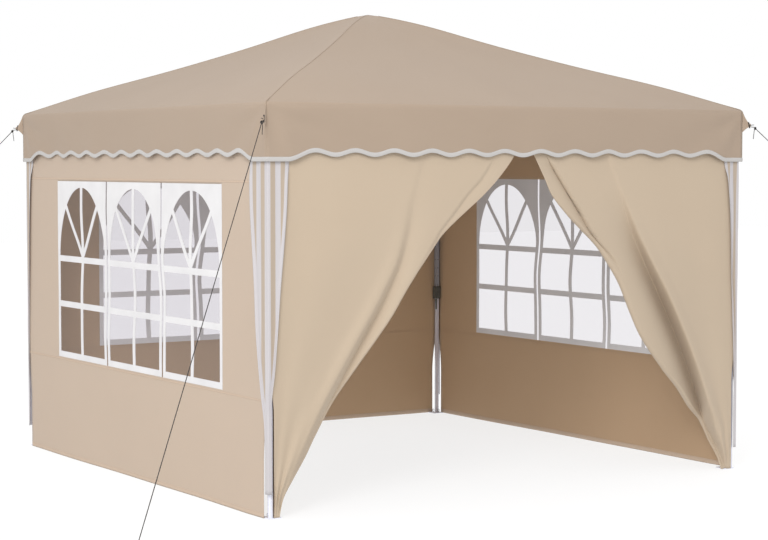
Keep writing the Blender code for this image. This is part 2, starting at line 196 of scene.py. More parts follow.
# %% Driving sizes
roof_low, roof_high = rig.box("roof_panel_front")
wall_low, wall_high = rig.box("wall_left")
film_low, film_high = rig.box("window_film_left")
ROOF_HALF = -roof_low.y
PEAK_Z = roof_high.z
PANEL_THICK = 0.003
EAVE_Z = roof_low.z + PANEL_THICK
SLOPE = (PEAK_Z - EAVE_Z) / ROOF_HALF
WALL_FACE = -wall_low.x
WALL_TOP_Z = wall_high.z
WALL_LOW_Z = wall_low.z
WINDOW_HALF = film_high.y
WINDOW_LOW_Z = film_low.z
WINDOW_TOP_Z = film_high.z
WINDOW_HEIGHT = WINDOW_TOP_Z - WINDOW_LOW_Z
LEG_CENTRE = 1.4625
CLOTH = 0.0010
QUARTER = math.pi / 2
SIDES = (("front", 0), ("right", 1), ("back", 2), ("left", 3))
CORNERS = (("back_right", 0), ("back_left", 1), ("front_left", 2), ("front_right", 3))
print("eave", round(EAVE_Z, 3), "peak", round(PEAK_Z, 3), "wall face", round(WALL_FACE, 4))

# %% [markdown]
# ## Camera
# A tent photographed from its front left corner, from eye height. The place and
# the lens are those of a real camera, found from where the tent's corners lie in
# the picture. There is no shift, so the same camera can be swung to other views.

# %% Camera
CAMERA_PLACE = (-5.9896, -9.6141, 1.6965)
CAMERA_TURN = (86.895, 0.006, -32.388)
LENS_MM = 92.06
SENSOR_MM = 36.0

camera_data = bpy.data.cameras.new("camera")
camera_data.lens = LENS_MM
camera_data.sensor_width = SENSOR_MM
camera_data.sensor_fit = "HORIZONTAL"
camera = bpy.data.objects.new("camera", camera_data)
camera.location = CAMERA_PLACE
camera.rotation_euler = [math.radians(angle) for angle in CAMERA_TURN]
bpy.context.scene.collection.objects.link(camera)
bpy.context.scene.camera = camera
print("camera at", CAMERA_PLACE)

# %% [markdown]
# ## Light and floor
# A tent for a shop page stands on a pale floor in soft light from all sides. A
# white world does most of it, and one wide lamp over the camera's left shoulder
# gives the cloth its shape. The lamp stands on the diagonal of the tent, so both
# sides that are seen get the same light. The floor is lit from below, as a white
# light table is, so the room under the roof isn't gloomy. The colours are shown
# as they are, so the view transform is the standard one.

# %% Light and view
WORLD_LIGHT = 1.0
KEY_PLACE = (-7.5, -7.5, 7.0)
KEY_SIZE = 4.0
KEY_WATTS = 620
KEY_AIM = Vector((0, 0, 1.0))

world = bpy.data.worlds.new("soft light")
world.use_nodes = True
world.node_tree.nodes["Background"].inputs["Color"].default_value = (1.0, 1.0, 1.0, 1.0)
world.node_tree.nodes["Background"].inputs["Strength"].default_value = WORLD_LIGHT
bpy.context.scene.world = world
bpy.context.scene.view_settings.view_transform = "Standard"


def add_lamp(name, place, size, watts):
    """A square lamp that faces the middle of the tent."""
    data = bpy.data.lights.new(name, "AREA")
    data.shape = "SQUARE"
    data.size = size
    data.energy = watts
    lamp = bpy.data.objects.new(name, data)
    lamp.location = place
    aim = KEY_AIM - Vector(place)
    lamp.rotation_euler = aim.to_track_quat("-Z", "Y").to_euler()
    bpy.context.scene.collection.objects.link(lamp)
    return lamp


key = add_lamp("key", KEY_PLACE, KEY_SIZE, KEY_WATTS)
print("lamp at", KEY_PLACE, "with", key.data.energy, "W")

# %% Floor
FLOOR_SIZE = 60.0
FLOOR_GREY = 0.20
FLOOR_GLOW = 0.78
FLOOR_Z = -0.0005


def shader_of(material):
    return material.node_tree.nodes["Principled BSDF"]


def plain_material(name, colour, roughness, metallic=0.0):
    """A material with its constants set on the shader's own sockets."""
    material = bpy.data.materials.new(name)
    material.use_nodes = True
    shader = shader_of(material)
    shader.inputs["Base Color"].default_value = (*colour, 1.0)
    shader.inputs["Roughness"].default_value = roughness
    shader.inputs["Metallic"].default_value = metallic
    return material


floor_bm = bmesh.new()
bmesh.ops.create_grid(floor_bm, x_segments=1, y_segments=1, size=FLOOR_SIZE / 2)
floor_mesh = bpy.data.meshes.new("floor")
floor_bm.to_mesh(floor_mesh)
floor_bm.free()
floor_white = plain_material("floor", (FLOOR_GREY,) * 3, 0.9)
shader_of(floor_white).inputs["Emission Color"].default_value = (1.0, 1.0, 1.0, 1.0)
shader_of(floor_white).inputs["Emission Strength"].default_value = FLOOR_GLOW
floor_mesh.materials.append(floor_white)
floor = bpy.data.objects.new("floor", floor_mesh)
floor.location.z = FLOOR_Z
bpy.context.scene.collection.objects.link(floor)
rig.stage(floor)
print("floor", FLOOR_SIZE, "m wide")

# %% [markdown]
# ## Building blocks for materials
# Most finishes here are a colour that varies a little, and a height pattern that
# becomes bump. A few small helpers add and link the nodes, so that each material
# below reads as a recipe. Cloth patterns follow the piece's own UV map, which is
# laid out in metres of flat cloth, and metal and plastic use Object coordinates.

# %% Node helpers
def add_node(material, kind, **settings):
    """A new node in the material, whose settings name its properties or its inputs."""
    node = material.node_tree.nodes.new(kind)
    for name, value in settings.items():
        label = name.replace("_", " ")
        if label in node.inputs:
            node.inputs[label].default_value = value
        else:
            setattr(node, name, value)
    return node


def link(material, source, target):
    material.node_tree.links.new(source, target)


def mix_colours(material, factor, first, second):
    """The colour output of a Mix node between two colours or sockets."""
    node = add_node(material, "ShaderNodeMix", data_type="RGBA")
    link(material, factor, node.inputs[0])
    for socket, value in ((node.inputs[6], first), (node.inputs[7], second)):
        if isinstance(value, bpy.types.NodeSocket):
            link(material, value, socket)
        else:
            socket.default_value = (*value, 1.0)
    return node.outputs[2]


def ramp(material, value, low, high):
    """Stretches value so that low becomes 0 and high becomes 1."""
    node = add_node(material, "ShaderNodeMapRange")
    node.inputs["From Min"].default_value = low
    node.inputs["From Max"].default_value = high
    link(material, value, node.inputs["Value"])
    return node.outputs["Result"]


def add_math(material, operation, first, second):
    node = add_node(material, "ShaderNodeMath", operation=operation)
    for socket, value in zip(node.inputs, (first, second)):
        if isinstance(value, bpy.types.NodeSocket):
            link(material, value, socket)
        else:
            socket.default_value = value
    return node.outputs[0]


print("nodes can be added and linked")


# %% Patterns, coordinates and bump
def add_bump(material, height, distance, strength=1.0, under=None):
    """Bump from a height socket, on top of the bump in under."""
    node = add_node(material, "ShaderNodeBump", Distance=distance, Strength=strength)
    link(material, height, node.inputs["Height"])
    if under is not None:
        link(material, under, node.inputs["Normal"])
    return node.outputs["Normal"]


def object_place(material):
    """The piece's own Object coordinates."""
    return add_node(material, "ShaderNodeTexCoord").outputs["Object"]


def uv_place(material, name="cloth"):
    """The coordinates of one of the piece's UV maps."""
    return add_node(material, "ShaderNodeUVMap", uv_map=name).outputs["UV"]


def split_place(material, place):
    """The X, Y and Z outputs of a coordinate."""
    node = add_node(material, "ShaderNodeSeparateXYZ")
    link(material, place, node.inputs["Vector"])
    return node.outputs


def add_noise(material, place, scale, detail=2.0, **settings):
    node = add_node(material, "ShaderNodeTexNoise", Scale=scale, Detail=detail, **settings)
    link(material, place, node.inputs["Vector"])
    return node.outputs["Fac"]


def set_finish(material, colour=None, normal=None):
    """Links a colour socket and a normal socket to the material's shader."""
    for name, socket in (("Base Color", colour), ("Normal", normal)):
        if socket is not None:
            link(material, socket, shader_of(material).inputs[name])


print("node helpers ready")

# %% [markdown]
# ## Polyester cloth
# The cover and the walls are coated polyester: a tight plain weave, a dull face
# and a faint sheen. Two crossed waves along the UV map make the threads, broad
# noise makes the cloth a little uneven in colour, and a larger soft noise stands
# for the shallow creases that folding leaves. Thin cloth also lets daylight
# through, which is why the inside of a tent glows, so a part of the surface is a
# Translucent shader. Photographs of cloth would be quicker, but a recipe stays
# sharp at any distance.

# %% Cloth material
THREAD = 0.0011
BAND_REPEAT = math.tau / 20
WEAVE_DEPTH = 0.00012
CREASE_DEPTH = 0.0035
CREASE_SCALE = 3.2
CLOUD_SCALE = 1.7
CLOUD_SPREAD = (0.30, 0.72)
FIBRE_SCALE = 160.0
FIBRE_SPREAD = (0.25, 0.85)
SHEEN = 0.12
SHEEN_ROUGH = 0.5
CLOTH_GLOSS = 0.25
LIGHT_THROUGH = 0.20
THICK_THROUGH = 0.08


def let_light_through(material, glow, share):
    """Mixes a Translucent shader of the colour glow into the material."""
    through = add_node(material, "ShaderNodeBsdfTranslucent")
    through.inputs["Color"].default_value = (*glow, 1.0)
    both = add_node(material, "ShaderNodeMixShader")
    both.inputs["Fac"].default_value = share
    link(material, shader_of(material).outputs["BSDF"], both.inputs[1])
    link(material, through.outputs["BSDF"], both.inputs[2])
    link(material, both.outputs["Shader"], material.node_tree.nodes["Material Output"].inputs[0])


def make_cloth(name, colour, shade, glow=None, roughness=0.78, through=LIGHT_THROUGH):
    """Woven cloth on the UV map called cloth, with shade as its darker, worn tone."""
    material = plain_material(name, colour, roughness)
    shader = shader_of(material)
    shader.inputs["Sheen Weight"].default_value = SHEEN
    shader.inputs["Sheen Roughness"].default_value = SHEEN_ROUGH
    shader.inputs["Specular IOR Level"].default_value = CLOTH_GLOSS
    uv = uv_place(material)
    broad = ramp(material, add_noise(material, uv, CLOUD_SCALE, 5.0, Roughness=0.6), *CLOUD_SPREAD)
    fine = ramp(material, add_noise(material, uv, FIBRE_SCALE, 3.0), *FIBRE_SPREAD)
    uneven = add_math(material, "MULTIPLY", add_math(material, "ADD", broad, fine), 0.5)
    threads = []
    for direction in ("X", "Y"):
        wave = add_node(material, "ShaderNodeTexWave", wave_type="BANDS", bands_direction=direction)
        wave.inputs["Scale"].default_value = BAND_REPEAT / THREAD
        wave.inputs["Distortion"].default_value = 0.3
        link(material, uv, wave.inputs["Vector"])
        threads.append(wave.outputs["Fac"])
    creases = add_noise(material, uv, CREASE_SCALE, Distortion=0.6)
    creased = add_bump(material, creases, CREASE_DEPTH, 0.35)
    woven = add_bump(material, add_math(material, "ADD", *threads), WEAVE_DEPTH, 0.6, creased)
    set_finish(material, mix_colours(material, uneven, shade, colour), woven)
    if glow:
        let_light_through(material, glow, through)
    return material


# %% The tent's cloths
WARM = (0.90, 0.72, 0.50)
canopy_cloth = make_cloth(
    "canopy cloth", (0.402, 0.313, 0.239), (0.379, 0.292, 0.222), WARM, through=THICK_THROUGH
)
# The inside of the cover is a darker copy of the canopy cloth: painted shade for the dim underside of the roof.
canopy_inside_painted_shade = make_cloth(
    "canopy cloth inside", (0.31, 0.220, 0.148), (0.285, 0.200, 0.133), WARM, through=THICK_THROUGH
)
wall_cloth = make_cloth("wall cloth", (0.585, 0.480, 0.385), (0.556, 0.453, 0.362), WARM)
# The inside of the walls and flaps is a darker, browner copy of the wall cloth: painted shade for the shaded room
# inside the tent.
wall_inside_painted_shade = make_cloth("wall cloth inside", (0.500, 0.358, 0.236), (0.462, 0.325, 0.209), WARM)
door_cloth = make_cloth(
    "door cloth", (0.524, 0.426, 0.319), (0.498, 0.400, 0.298), WARM, through=THICK_THROUGH
)
trim_cloth = make_cloth("white binding", (0.485, 0.467, 0.450), (0.45, 0.434, 0.42), None, 0.7)
print("cloth materials", [m.name for m in (canopy_cloth, wall_cloth, door_cloth, trim_cloth)])

# %% [markdown]
# ## Small cloth tools
# A cloth piece starts as a flat grid that knows its own place across and along.
# place() then bends it, and its UV map keeps the flat size in metres, so a weave
# stays true however the cloth hangs. soft() is a smooth step, bell() a smooth
# hump and along() reads a smooth line through a few measured points.

# %% Cloth helpers
def soft(value, low=0.0, high=1.0):
    """0 below low, 1 above high, and a smooth rise between them."""
    share = min(max((value - low) / (high - low), 0.0), 1.0)
    return share * share * (3 - 2 * share)


def bell(value, middle, width):
    return math.exp(-(((value - middle) / width) ** 2))


def along(points, value):
    """A smooth line through (position, result) pairs with rising positions."""
    if value <= points[0][0]:
        return points[0][1]
    if value >= points[-1][0]:
        return points[-1][1]
    last = len(points) - 1
    index = max(i for i in range(last) if points[i][0] <= value)
    slopes = []
    for i in (index, index + 1):
        before = points[max(i - 1, 0)]
        after = points[min(i + 1, last)]
        slopes.append((after[1] - before[1]) / (after[0] - before[0]))
    (x0, y0), (x1, y1) = points[index], points[index + 1]
    gap = x1 - x0
    t = (value - x0) / gap
    start = (2 * t**3 - 3 * t**2 + 1) * y0 + (t**3 - 2 * t**2 + t) * gap * slopes[0]
    end = (3 * t**2 - 2 * t**3) * y1 + (t**3 - t**2) * gap * slopes[1]
    return start + end


def turned(point, turns):
    """A point of the front side, turned to another side about the peak."""
    return Matrix.Rotation(turns * QUARTER, 3, "Z") @ Vector(point)


print("soft step a quarter of the way up:", soft(0.25))


# %% Grids and pieces
def add_cloth(bm, columns, rows, place, flat):
    """Adds a grid that place(s, t) bends, s across and t up, both from 0 to 1."""
    layer = bm.loops.layers.uv.get("cloth") or bm.loops.layers.uv.new("cloth")
    made = bmesh.ops.create_grid(bm, x_segments=columns, y_segments=rows, size=0.5)
    verts = made["verts"]
    faces = {face for vert in verts for face in vert.link_faces}
    for face in faces:
        for loop in face.loops:
            spot = loop.vert.co
            loop[layer].uv = ((spot.x + 0.5) * flat[0], (spot.y + 0.5) * flat[1])
    for vert in verts:
        vert.co = place(vert.co.x + 0.5, vert.co.y + 0.5)
    return verts


def make_piece(name, bm, materials, body, slot, replaces=(), closed=False):
    """Turns a bmesh into a smooth piece that rides on a body of the frame."""
    if closed:
        bmesh.ops.recalc_face_normals(bm, faces=bm.faces)
    mesh = bpy.data.meshes.new(name)
    bm.to_mesh(mesh)
    bm.free()
    for material in materials:
        mesh.materials.append(material)
    mesh.shade_smooth()
    piece = bpy.data.objects.new(name, mesh)
    bpy.context.scene.collection.objects.link(piece)
    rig.ride(piece, body)
    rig.slot(piece, slot)
    if replaces:
        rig.replaces(piece, *replaces)
    return piece


def thicken(piece, thickness, inside=0):
    """Gives a cloth its thickness, inwards, where inside 1 puts the next material."""
    modifier = piece.modifiers.new("thickness", "SOLIDIFY")
    modifier.thickness = thickness
    modifier.offset = -1
    modifier.use_even_offset = False
    modifier.material_offset = inside
    return piece


def report(piece):
    print(piece.name, len(piece.data.polygons), "faces")


LEG_DROP = 0.16


def slacken(piece, top):
    """Cloth that stands on the ground crumples as the legs are lowered."""
    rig.squash(piece, "leg_height", axis=(0, 0, 1), anchor=(0, 0, 0), keep=1 - LEG_DROP / top)


print("cloth helpers ready")

# %% [markdown]
# ## The cover: roof and valance in one sheet
# The real cover is four gores sewn at the hips, and the valance is the same cloth
# turned down over the eave. Four flat triangles would look like card, so each
# gore is a grid with one row of points for each step down from the peak, round
# the eave and down the valance. The hips lift a little where the frame pushes,
# the middle of each gore sags, and the lower edge is cut in shallow waves. The
# four gores are then sewn by merging the points that they share.

# %% Shape of the cover
EAVE_RADIUS = 0.016
GORE_COLUMNS = 160
ROOF_ROWS = 34
EAVE_ROWS = 5
DROP_ROWS = 16
CORNER_LOW_Z = 1.707
CREST_Z = 1.750
TROUGH_Z = 1.7285
WAVE_LENGTH = 0.2235
FIRST_CREST = 1.229
STRAIGHT_FROM = 1.378
PEAK_LIFT = 0.011
PEAK_ROUND = 0.06
HIP_LIFT = 0.012
HIP_LIFTS = ((0.24, 0.20), (1.18, 0.24))
GORE_SAG = 0.016
ROOF_CREASE = 0.0045
EDGE_WAVE = 0.0034
CORNER_PULL = 0.014
CORNER_FOLDS = 8.0
PULL_REACH = 0.55
EDGE_FREE = 1.30
SLOPE_ANGLE = math.atan(SLOPE)
EAVE_TURN = QUARTER - SLOPE_ANGLE
EAVE_TANGENT = EAVE_RADIUS * math.tan(EAVE_TURN / 2)


def valance_edge(x):
    """Height of the valance's lower edge at x along a side."""
    reach = abs(x)
    middle = (CREST_Z + TROUGH_Z) / 2
    swing = (CREST_Z - TROUGH_Z) / 2
    wave = middle + swing * math.cos(math.tau * (FIRST_CREST - reach) / WAVE_LENGTH)
    if reach > FIRST_CREST:
        wave = CREST_Z
    return wave + (CORNER_LOW_Z - wave) * soft(reach, FIRST_CREST, STRAIGHT_FROM)


def roof_rise(out, across):
    """How far the cloth lies above the flat roof, out from the peak."""
    peak = PEAK_LIFT * (1 - out / ROOF_HALF) * (1 - math.exp(-out / PEAK_ROUND))
    hip = HIP_LIFT * sum(bell(out, *lift) for lift in HIP_LIFTS)
    sag = GORE_SAG * (1 - across**2) * math.sin(math.pi * min(out / ROOF_HALF, 1.0))
    return peak + hip * (0.55 + 0.45 * across**2) - sag


def valance_bulge(turns, x, drop):
    """How far the valance hangs outside its plane, drop 0 at the eave and 1 at its edge."""
    inner = 1 - soft(abs(x), EDGE_FREE, ROOF_HALF)
    wave = math.sin(7.1 * x + 1.9 * turns) + 0.7 * math.sin(16.3 * x + turns)
    reach = ROOF_HALF - abs(x)
    low = drop * (EAVE_Z - TROUGH_Z)
    away = math.hypot(reach, low)
    fan = 0.5 + 0.5 * math.sin(CORNER_FOLDS * math.atan2(low, reach + 0.001) + 0.8)
    held = soft(reach, 0.0, 0.10) * soft(away, 0.0, 0.2)
    pull = CORNER_PULL * fan * math.exp(-away / PULL_REACH) * held
    return EDGE_WAVE * drop * wave * inner + pull


print("the valance hangs to", round(valance_edge(0), 3), "and", CORNER_LOW_Z, "at a corner")


# %% Points of the cover
def cover_point(turns, across, row):
    """A point of one gore: across from -1 to 1, row counted down from the peak."""
    if row <= ROOF_ROWS:
        share = row / ROOF_ROWS
        out = share * (ROOF_HALF - EAVE_TANGENT * math.cos(SLOPE_ANGLE))
        x = across * out
        crease = ROOF_CREASE * noise.noise(Vector((x * 2.2, out * 1.6, turns * 5.0)))
        height = PEAK_Z - SLOPE * out + roof_rise(out, across)
        height += crease * (1 - across**2) * soft(out, 0.1, 0.6)
        return Vector((x, -out, height))
    if row <= ROOF_ROWS + EAVE_ROWS:
        angle = SLOPE_ANGLE + EAVE_TURN * (row - ROOF_ROWS) / EAVE_ROWS
        out = ROOF_HALF - EAVE_RADIUS * (1 - math.sin(angle))
        height = EAVE_Z - EAVE_TANGENT + EAVE_RADIUS * math.cos(angle)
        return Vector((across * out, -out, height))
    drop = (row - ROOF_ROWS - EAVE_ROWS) / DROP_ROWS
    x = across * ROOF_HALF
    top = EAVE_Z - EAVE_TANGENT
    height = top + (valance_edge(x) - top) * drop
    return Vector((x, -ROOF_HALF - valance_bulge(turns, x, drop), height))


print("the middle of an eave is at", [round(value, 3) for value in cover_point(0, 0.0, ROOF_ROWS)])

# %% Sew the cover
GORE_LENGTH = 1.87
SEWN = 0.0004
cover_rows = ROOF_ROWS + EAVE_ROWS + DROP_ROWS
cover_bm = bmesh.new()
for side, turns in SIDES:
    add_cloth(
        cover_bm,
        GORE_COLUMNS,
        cover_rows,
        lambda s, t: turned(cover_point(turns, 2 * s - 1, (1 - t) * cover_rows), turns),
        (2 * ROOF_HALF, GORE_LENGTH),
    )
bmesh.ops.remove_doubles(cover_bm, verts=cover_bm.verts, dist=SEWN)
cover = make_piece(
    "canopy_cover",
    cover_bm,
    [canopy_cloth, canopy_inside_painted_shade],
    "head",
    "canopy_cloth",
    [kind + side for side, turns in SIDES for kind in ("roof_panel_", "valance_")],
)
thicken(cover, CLOTH, 1)
report(cover)

# %% [markdown]
# ## White binding on the valance
# A woven tape is folded over the wavy edge and sewn through, so it shows outside
# and inside. It is a grid whose rows run up the inside, under the edge and up the
# outside, and it follows the same edge and bulge as the cloth that it holds.

# %% Binding
BINDING_HEIGHT = 0.021
BINDING_PROUD = 0.0017
BINDING_COLUMNS = 260
BINDING_SEWN = 0.0003
SECTION = (
    (1.00, -0.4), (0.97, -1.0), (0.50, -1.1), (0.06, -1.0), (-0.03, -0.5), (-0.05, 0.0),
    (-0.03, 0.5), (0.06, 1.0), (0.50, 1.1), (0.97, 1.0), (1.00, 0.4),
)
BINDING_ROWS = len(SECTION) - 1


def binding_point(turns, s, t):
    """A point of the tape, whose SECTION holds heights and ways out from the cloth."""
    up, out = SECTION[round(t * BINDING_ROWS)]
    x = (2 * s - 1) * ROOF_HALF
    edge = valance_edge(x)
    top = EAVE_Z - EAVE_TANGENT
    height = edge + BINDING_HEIGHT * up
    drop = min((top - height) / (top - edge), 1.0)
    middle = valance_bulge(turns, x, drop) - CLOTH / 2
    reach = ROOF_HALF + middle + BINDING_PROUD * out
    return turned((x / ROOF_HALF * reach, -reach, height), turns)


binding_bm = bmesh.new()
for side, turns in SIDES:
    add_cloth(
        binding_bm,
        BINDING_COLUMNS,
        BINDING_ROWS,
        lambda s, t: binding_point(turns, s, t),
        (2 * ROOF_HALF, 2 * BINDING_HEIGHT),
    )
bmesh.ops.remove_doubles(binding_bm, verts=binding_bm.verts, dist=BINDING_SEWN)
binding = make_piece("valance_binding", binding_bm, [trim_cloth], "head", "wall_cloth")
report(binding)

# %% [markdown]
# ## Side walls
# Each side wall is one cloth with a window opening, hemmed all round. It hangs
# from the truss and stands to the ground, so it is nearly flat above and moves in
# shallow swells below. Its upright edges draw in near the ground, where only the
# hem tape holds them, and leave a slit beside the leg. The grid is cut along the
# window's four edges, and the faces inside are dropped.

# %% Shape of a wall
WALL_COLUMNS = 110
WALL_ROWS = 66
WALL_HALF = WALL_FACE - 0.0035
DRAWN_IN = 0.040
DRAWN_Z = (0.28, 0.68)
BENT_FROM = 1.05
LOW_SWELL = 0.0042
LOW_SWELL_Z = (0.05, 0.62)
HIGH_SWELL = 0.0012
SWELL_ENDS = (1.25, 1.46)


def wall_swell(turns, x, z):
    """How far a wall stands outside its plane: swells below, nearly flat above."""
    low = 1 - soft(z, *LOW_SWELL_Z)
    inner = 1 - soft(abs(x), *SWELL_ENDS)
    slow = math.sin(2.3 * x + 1.3 * turns + 2.2 * z) + 0.5 * math.sin(5.9 * x - 3.1 * z)
    rough = noise.noise(Vector((x * 1.9, z * 2.6, turns * 7.0)))
    return (LOW_SWELL * low * slow + HIGH_SWELL * rough) * (0.25 + 0.75 * inner)


def wall_edge(z):
    """Half the wall's width at a height: it draws in below knee height."""
    return WALL_HALF - DRAWN_IN * (1 - soft(z, *DRAWN_Z))


def wall_point(turns, x, z, out=0.0):
    """A point of the wall's outer face, x along the side, out in front of it."""
    near = soft(abs(x), BENT_FROM, WALL_HALF)
    x = x * (1 + near * (wall_edge(z) / WALL_HALF - 1))
    return turned((x, -WALL_FACE - wall_swell(turns, x, z) - out, z), turns)


def cut_window(bm):
    """Cuts a flat wall along the window's edges and drops what lies inside."""
    cuts = (
        ((-WINDOW_HALF, 0, 0), (1, 0, 0)),
        ((WINDOW_HALF, 0, 0), (1, 0, 0)),
        ((0, 0, WINDOW_LOW_Z), (0, 0, 1)),
        ((0, 0, WINDOW_TOP_Z), (0, 0, 1)),
    )
    for point, normal in cuts:
        everything = list(bm.verts) + list(bm.edges) + list(bm.faces)
        bmesh.ops.bisect_plane(bm, geom=everything, dist=1e-5, plane_co=point, plane_no=normal)
    inside = []
    for face in bm.faces:
        middle = face.calc_center_median()
        if abs(middle.x) < WINDOW_HALF and WINDOW_LOW_Z < middle.z < WINDOW_TOP_Z:
            inside.append(face)
    bmesh.ops.delete(bm, geom=inside, context="FACES")


print("a wall is", round(2 * wall_edge(0), 3), "m wide at its foot")

# %% Make the three walls
WALL_HEIGHT = WALL_TOP_Z - WALL_LOW_Z
WALLS = [(side, turns) for side, turns in SIDES if side != "front"]
wall_area = 2 * WALL_HALF * WALL_HEIGHT - 2 * WINDOW_HALF * WINDOW_HEIGHT
for side, turns in WALLS:
    bm = bmesh.new()
    add_cloth(
        bm,
        WALL_COLUMNS,
        WALL_ROWS,
        lambda s, t: Vector(((2 * s - 1) * WALL_HALF, 0, WALL_LOW_Z + t * WALL_HEIGHT)),
        (2 * WALL_HALF, WALL_HEIGHT),
    )
    cut_window(bm)
    for vert in bm.verts:
        vert.co = wall_point(turns, vert.co.x, vert.co.z)
    bmesh.ops.recalc_face_normals(bm, faces=bm.faces)
    sample = next(iter(bm.faces))
    if sample.normal.dot(turned((0, -1, 0), turns)) < 0:
        bmesh.ops.reverse_faces(bm, faces=bm.faces)
    wall = make_piece(
        "wall_cloth_" + side, bm, [wall_cloth, wall_inside_painted_shade], "standing", "wall_cloth", ["wall_" + side]
    )
    thicken(wall, CLOTH, 1)
    slacken(wall, WALL_TOP_Z)
    report(wall)

# %% [markdown]
# ## Arched windows
# A wall has three arched windows: white bands welded on one clear film. Each
# window is a stile on either side, two cross bars, a middle bar that runs from
# top to bottom, and a fan of two bars over the upper cross bar, under an arch.
# Bars could be laid over each other one by one, but a flat curve with its panes
# as holes gives one clean lattice. The outlines are closely spaced points, so the
# lattice can then follow the swell of the wall and the soft waver of the film.

# %% Outlines of the panes
FRAME_GAP = 0.018
STILE = 0.027
CROSS_BAR = 0.034
MIDDLE_BAR = 0.030
FAN_BAR = 0.026
UPPER_BAR_Z = 1.150
LOWER_BAR_Z = 0.888
RAIL_TOP_Z = 0.612
ARCH_TOP_Z = 1.560
FAN_ANGLE = math.radians(37)
STEP = 0.022
FRAME_HALF = (2 * WINDOW_HALF - 2 * FRAME_GAP) / 6
PANE_HALF = FRAME_HALF - STILE
ARCH_LOW_Z = UPPER_BAR_Z + CROSS_BAR / 2
ARCH_RISE = ARCH_TOP_Z - ARCH_LOW_Z


def filled_in(corners):
    """The same closed outline with points every STEP along its straight sides."""
    outline = []
    for start, end in zip(corners, corners[1:] + corners[:1]):
        start = Vector(start)
        side = Vector(end) - start
        count = max(1, round(side.length / STEP))
        outline += [start + side * index / count for index in range(count)]
    return outline


def arch_angle(direction, reach, sign):
    """Where the line direction . p = reach meets the arch, as the arch's angle."""
    across = direction[0] * PANE_HALF
    rise = direction[1] * ARCH_RISE
    return math.atan2(rise, across) + sign * math.acos(reach / math.hypot(across, rise))


def arch_points(start, end):
    count = max(2, round(abs(end - start) * ARCH_RISE / STEP))
    angles = [start + (end - start) * index / count for index in range(count + 1)]
    return [(PANE_HALF * math.cos(a), ARCH_LOW_Z + ARCH_RISE * math.sin(a)) for a in angles]


print("a window frame is", round(2 * FRAME_HALF, 3), "m wide")


# %% Panes of a window
def fan_panes():
    """The two panes right of the middle bar, under the arch, as outlines."""
    normal = (math.cos(FAN_ANGLE), -math.sin(FAN_ANGLE))
    half = FAN_BAR / 2
    low_meets = arch_angle(normal, half, 1)
    outer = [(half / normal[0], ARCH_LOW_Z)] + arch_points(0.0, low_meets)
    high_meets = arch_angle(normal, -half, 1)
    edge = MIDDLE_BAR / 2
    top_meets = math.acos(edge / PANE_HALF)
    foot = (edge, ARCH_LOW_Z + (half + normal[0] * edge) / -normal[1])
    inner = [foot] + arch_points(high_meets, top_meets)
    return [outer, inner]


def window_panes():
    """All eight panes of one window about x = 0."""
    panes = []
    edge = MIDDLE_BAR / 2
    for low, high in (
        (RAIL_TOP_Z, LOWER_BAR_Z - CROSS_BAR / 2),
        (LOWER_BAR_Z + CROSS_BAR / 2, UPPER_BAR_Z - CROSS_BAR / 2),
    ):
        panes.append([(edge, low), (PANE_HALF, low), (PANE_HALF, high), (edge, high)])
    panes += fan_panes()
    panes += [[(-x, z) for x, z in reversed(pane)] for pane in panes]
    return [filled_in(pane) for pane in panes]


print("panes in a window:", len(window_panes()))

# %% Shape of the lattice and the film
LATTICE_PROUD = 0.0008
LATTICE_THICK = 0.0028
FILM_IN = 0.0012
FILM_DRIFT = 0.013
FILM_HELD_FROM = 0.80
FILM_COLUMNS = 72
FILM_ROWS = 36


def waver(x, z):
    """How far the soft film drifts sideways at a point of a wall's window."""
    height = (z - WINDOW_LOW_Z) / WINDOW_HEIGHT
    held = math.sin(math.pi * min(max(height, 0.0), 1.0))
    held *= 1 - soft(abs(x), FILM_HELD_FROM, WINDOW_HALF)
    slow = math.sin(7.5 * z + 2.1 * x + 0.6) + 0.35 * math.sin(15.0 * z - 3.0 * x)
    return FILM_DRIFT * slow * held


def frame_solid(centre):
    """One white window frame as a mesh: a filled flat curve with its panes cut out."""
    curve = bpy.data.curves.new("frame", "CURVE")
    curve.dimensions = "2D"
    curve.fill_mode = "BOTH"
    curve.extrude = LATTICE_THICK / 2
    border = [
        (-FRAME_HALF, WINDOW_LOW_Z),
        (FRAME_HALF, WINDOW_LOW_Z),
        (FRAME_HALF, WINDOW_TOP_Z),
        (-FRAME_HALF, WINDOW_TOP_Z),
    ]
    for outline in [filled_in(border)] + window_panes():
        spline = curve.splines.new("POLY")
        spline.points.add(len(outline) - 1)
        spline.use_cyclic_u = True
        for point, (x, z) in zip(spline.points, outline):
            point.co = (x + centre, z, 0, 1)
    holder = bpy.data.objects.new("frame", curve)
    bpy.context.scene.collection.objects.link(holder)
    graph = bpy.context.evaluated_depsgraph_get()
    mesh = bpy.data.meshes.new_from_object(holder.evaluated_get(graph))
    bpy.data.objects.remove(holder, do_unlink=True)
    bpy.data.curves.remove(curve)
    return mesh


frame_meshes = [frame_solid(place * (2 * FRAME_HALF + FRAME_GAP)) for place in (-1, 0, 1)]
print("faces in each window frame:", [len(mesh.polygons) for mesh in frame_meshes])

# %% White band and clear film
FILM_SHARE = 0.10
FILM_TINT = (0.865, 0.852, 0.875)

frame_white = plain_material("window band", (0.68, 0.67, 0.675), 0.45)
shader_of(frame_white).inputs["Specular IOR Level"].default_value = 0.4
band_noise = add_noise(frame_white, object_place(frame_white), 6.0, 3.0)
band_fac = ramp(frame_white, band_noise, 0.3, 0.7)
band_tone = mix_colours(frame_white, band_fac, (0.64, 0.63, 0.635), (0.70, 0.69, 0.695))
set_finish(frame_white, band_tone, add_bump(frame_white, band_noise, 0.004, 0.3))

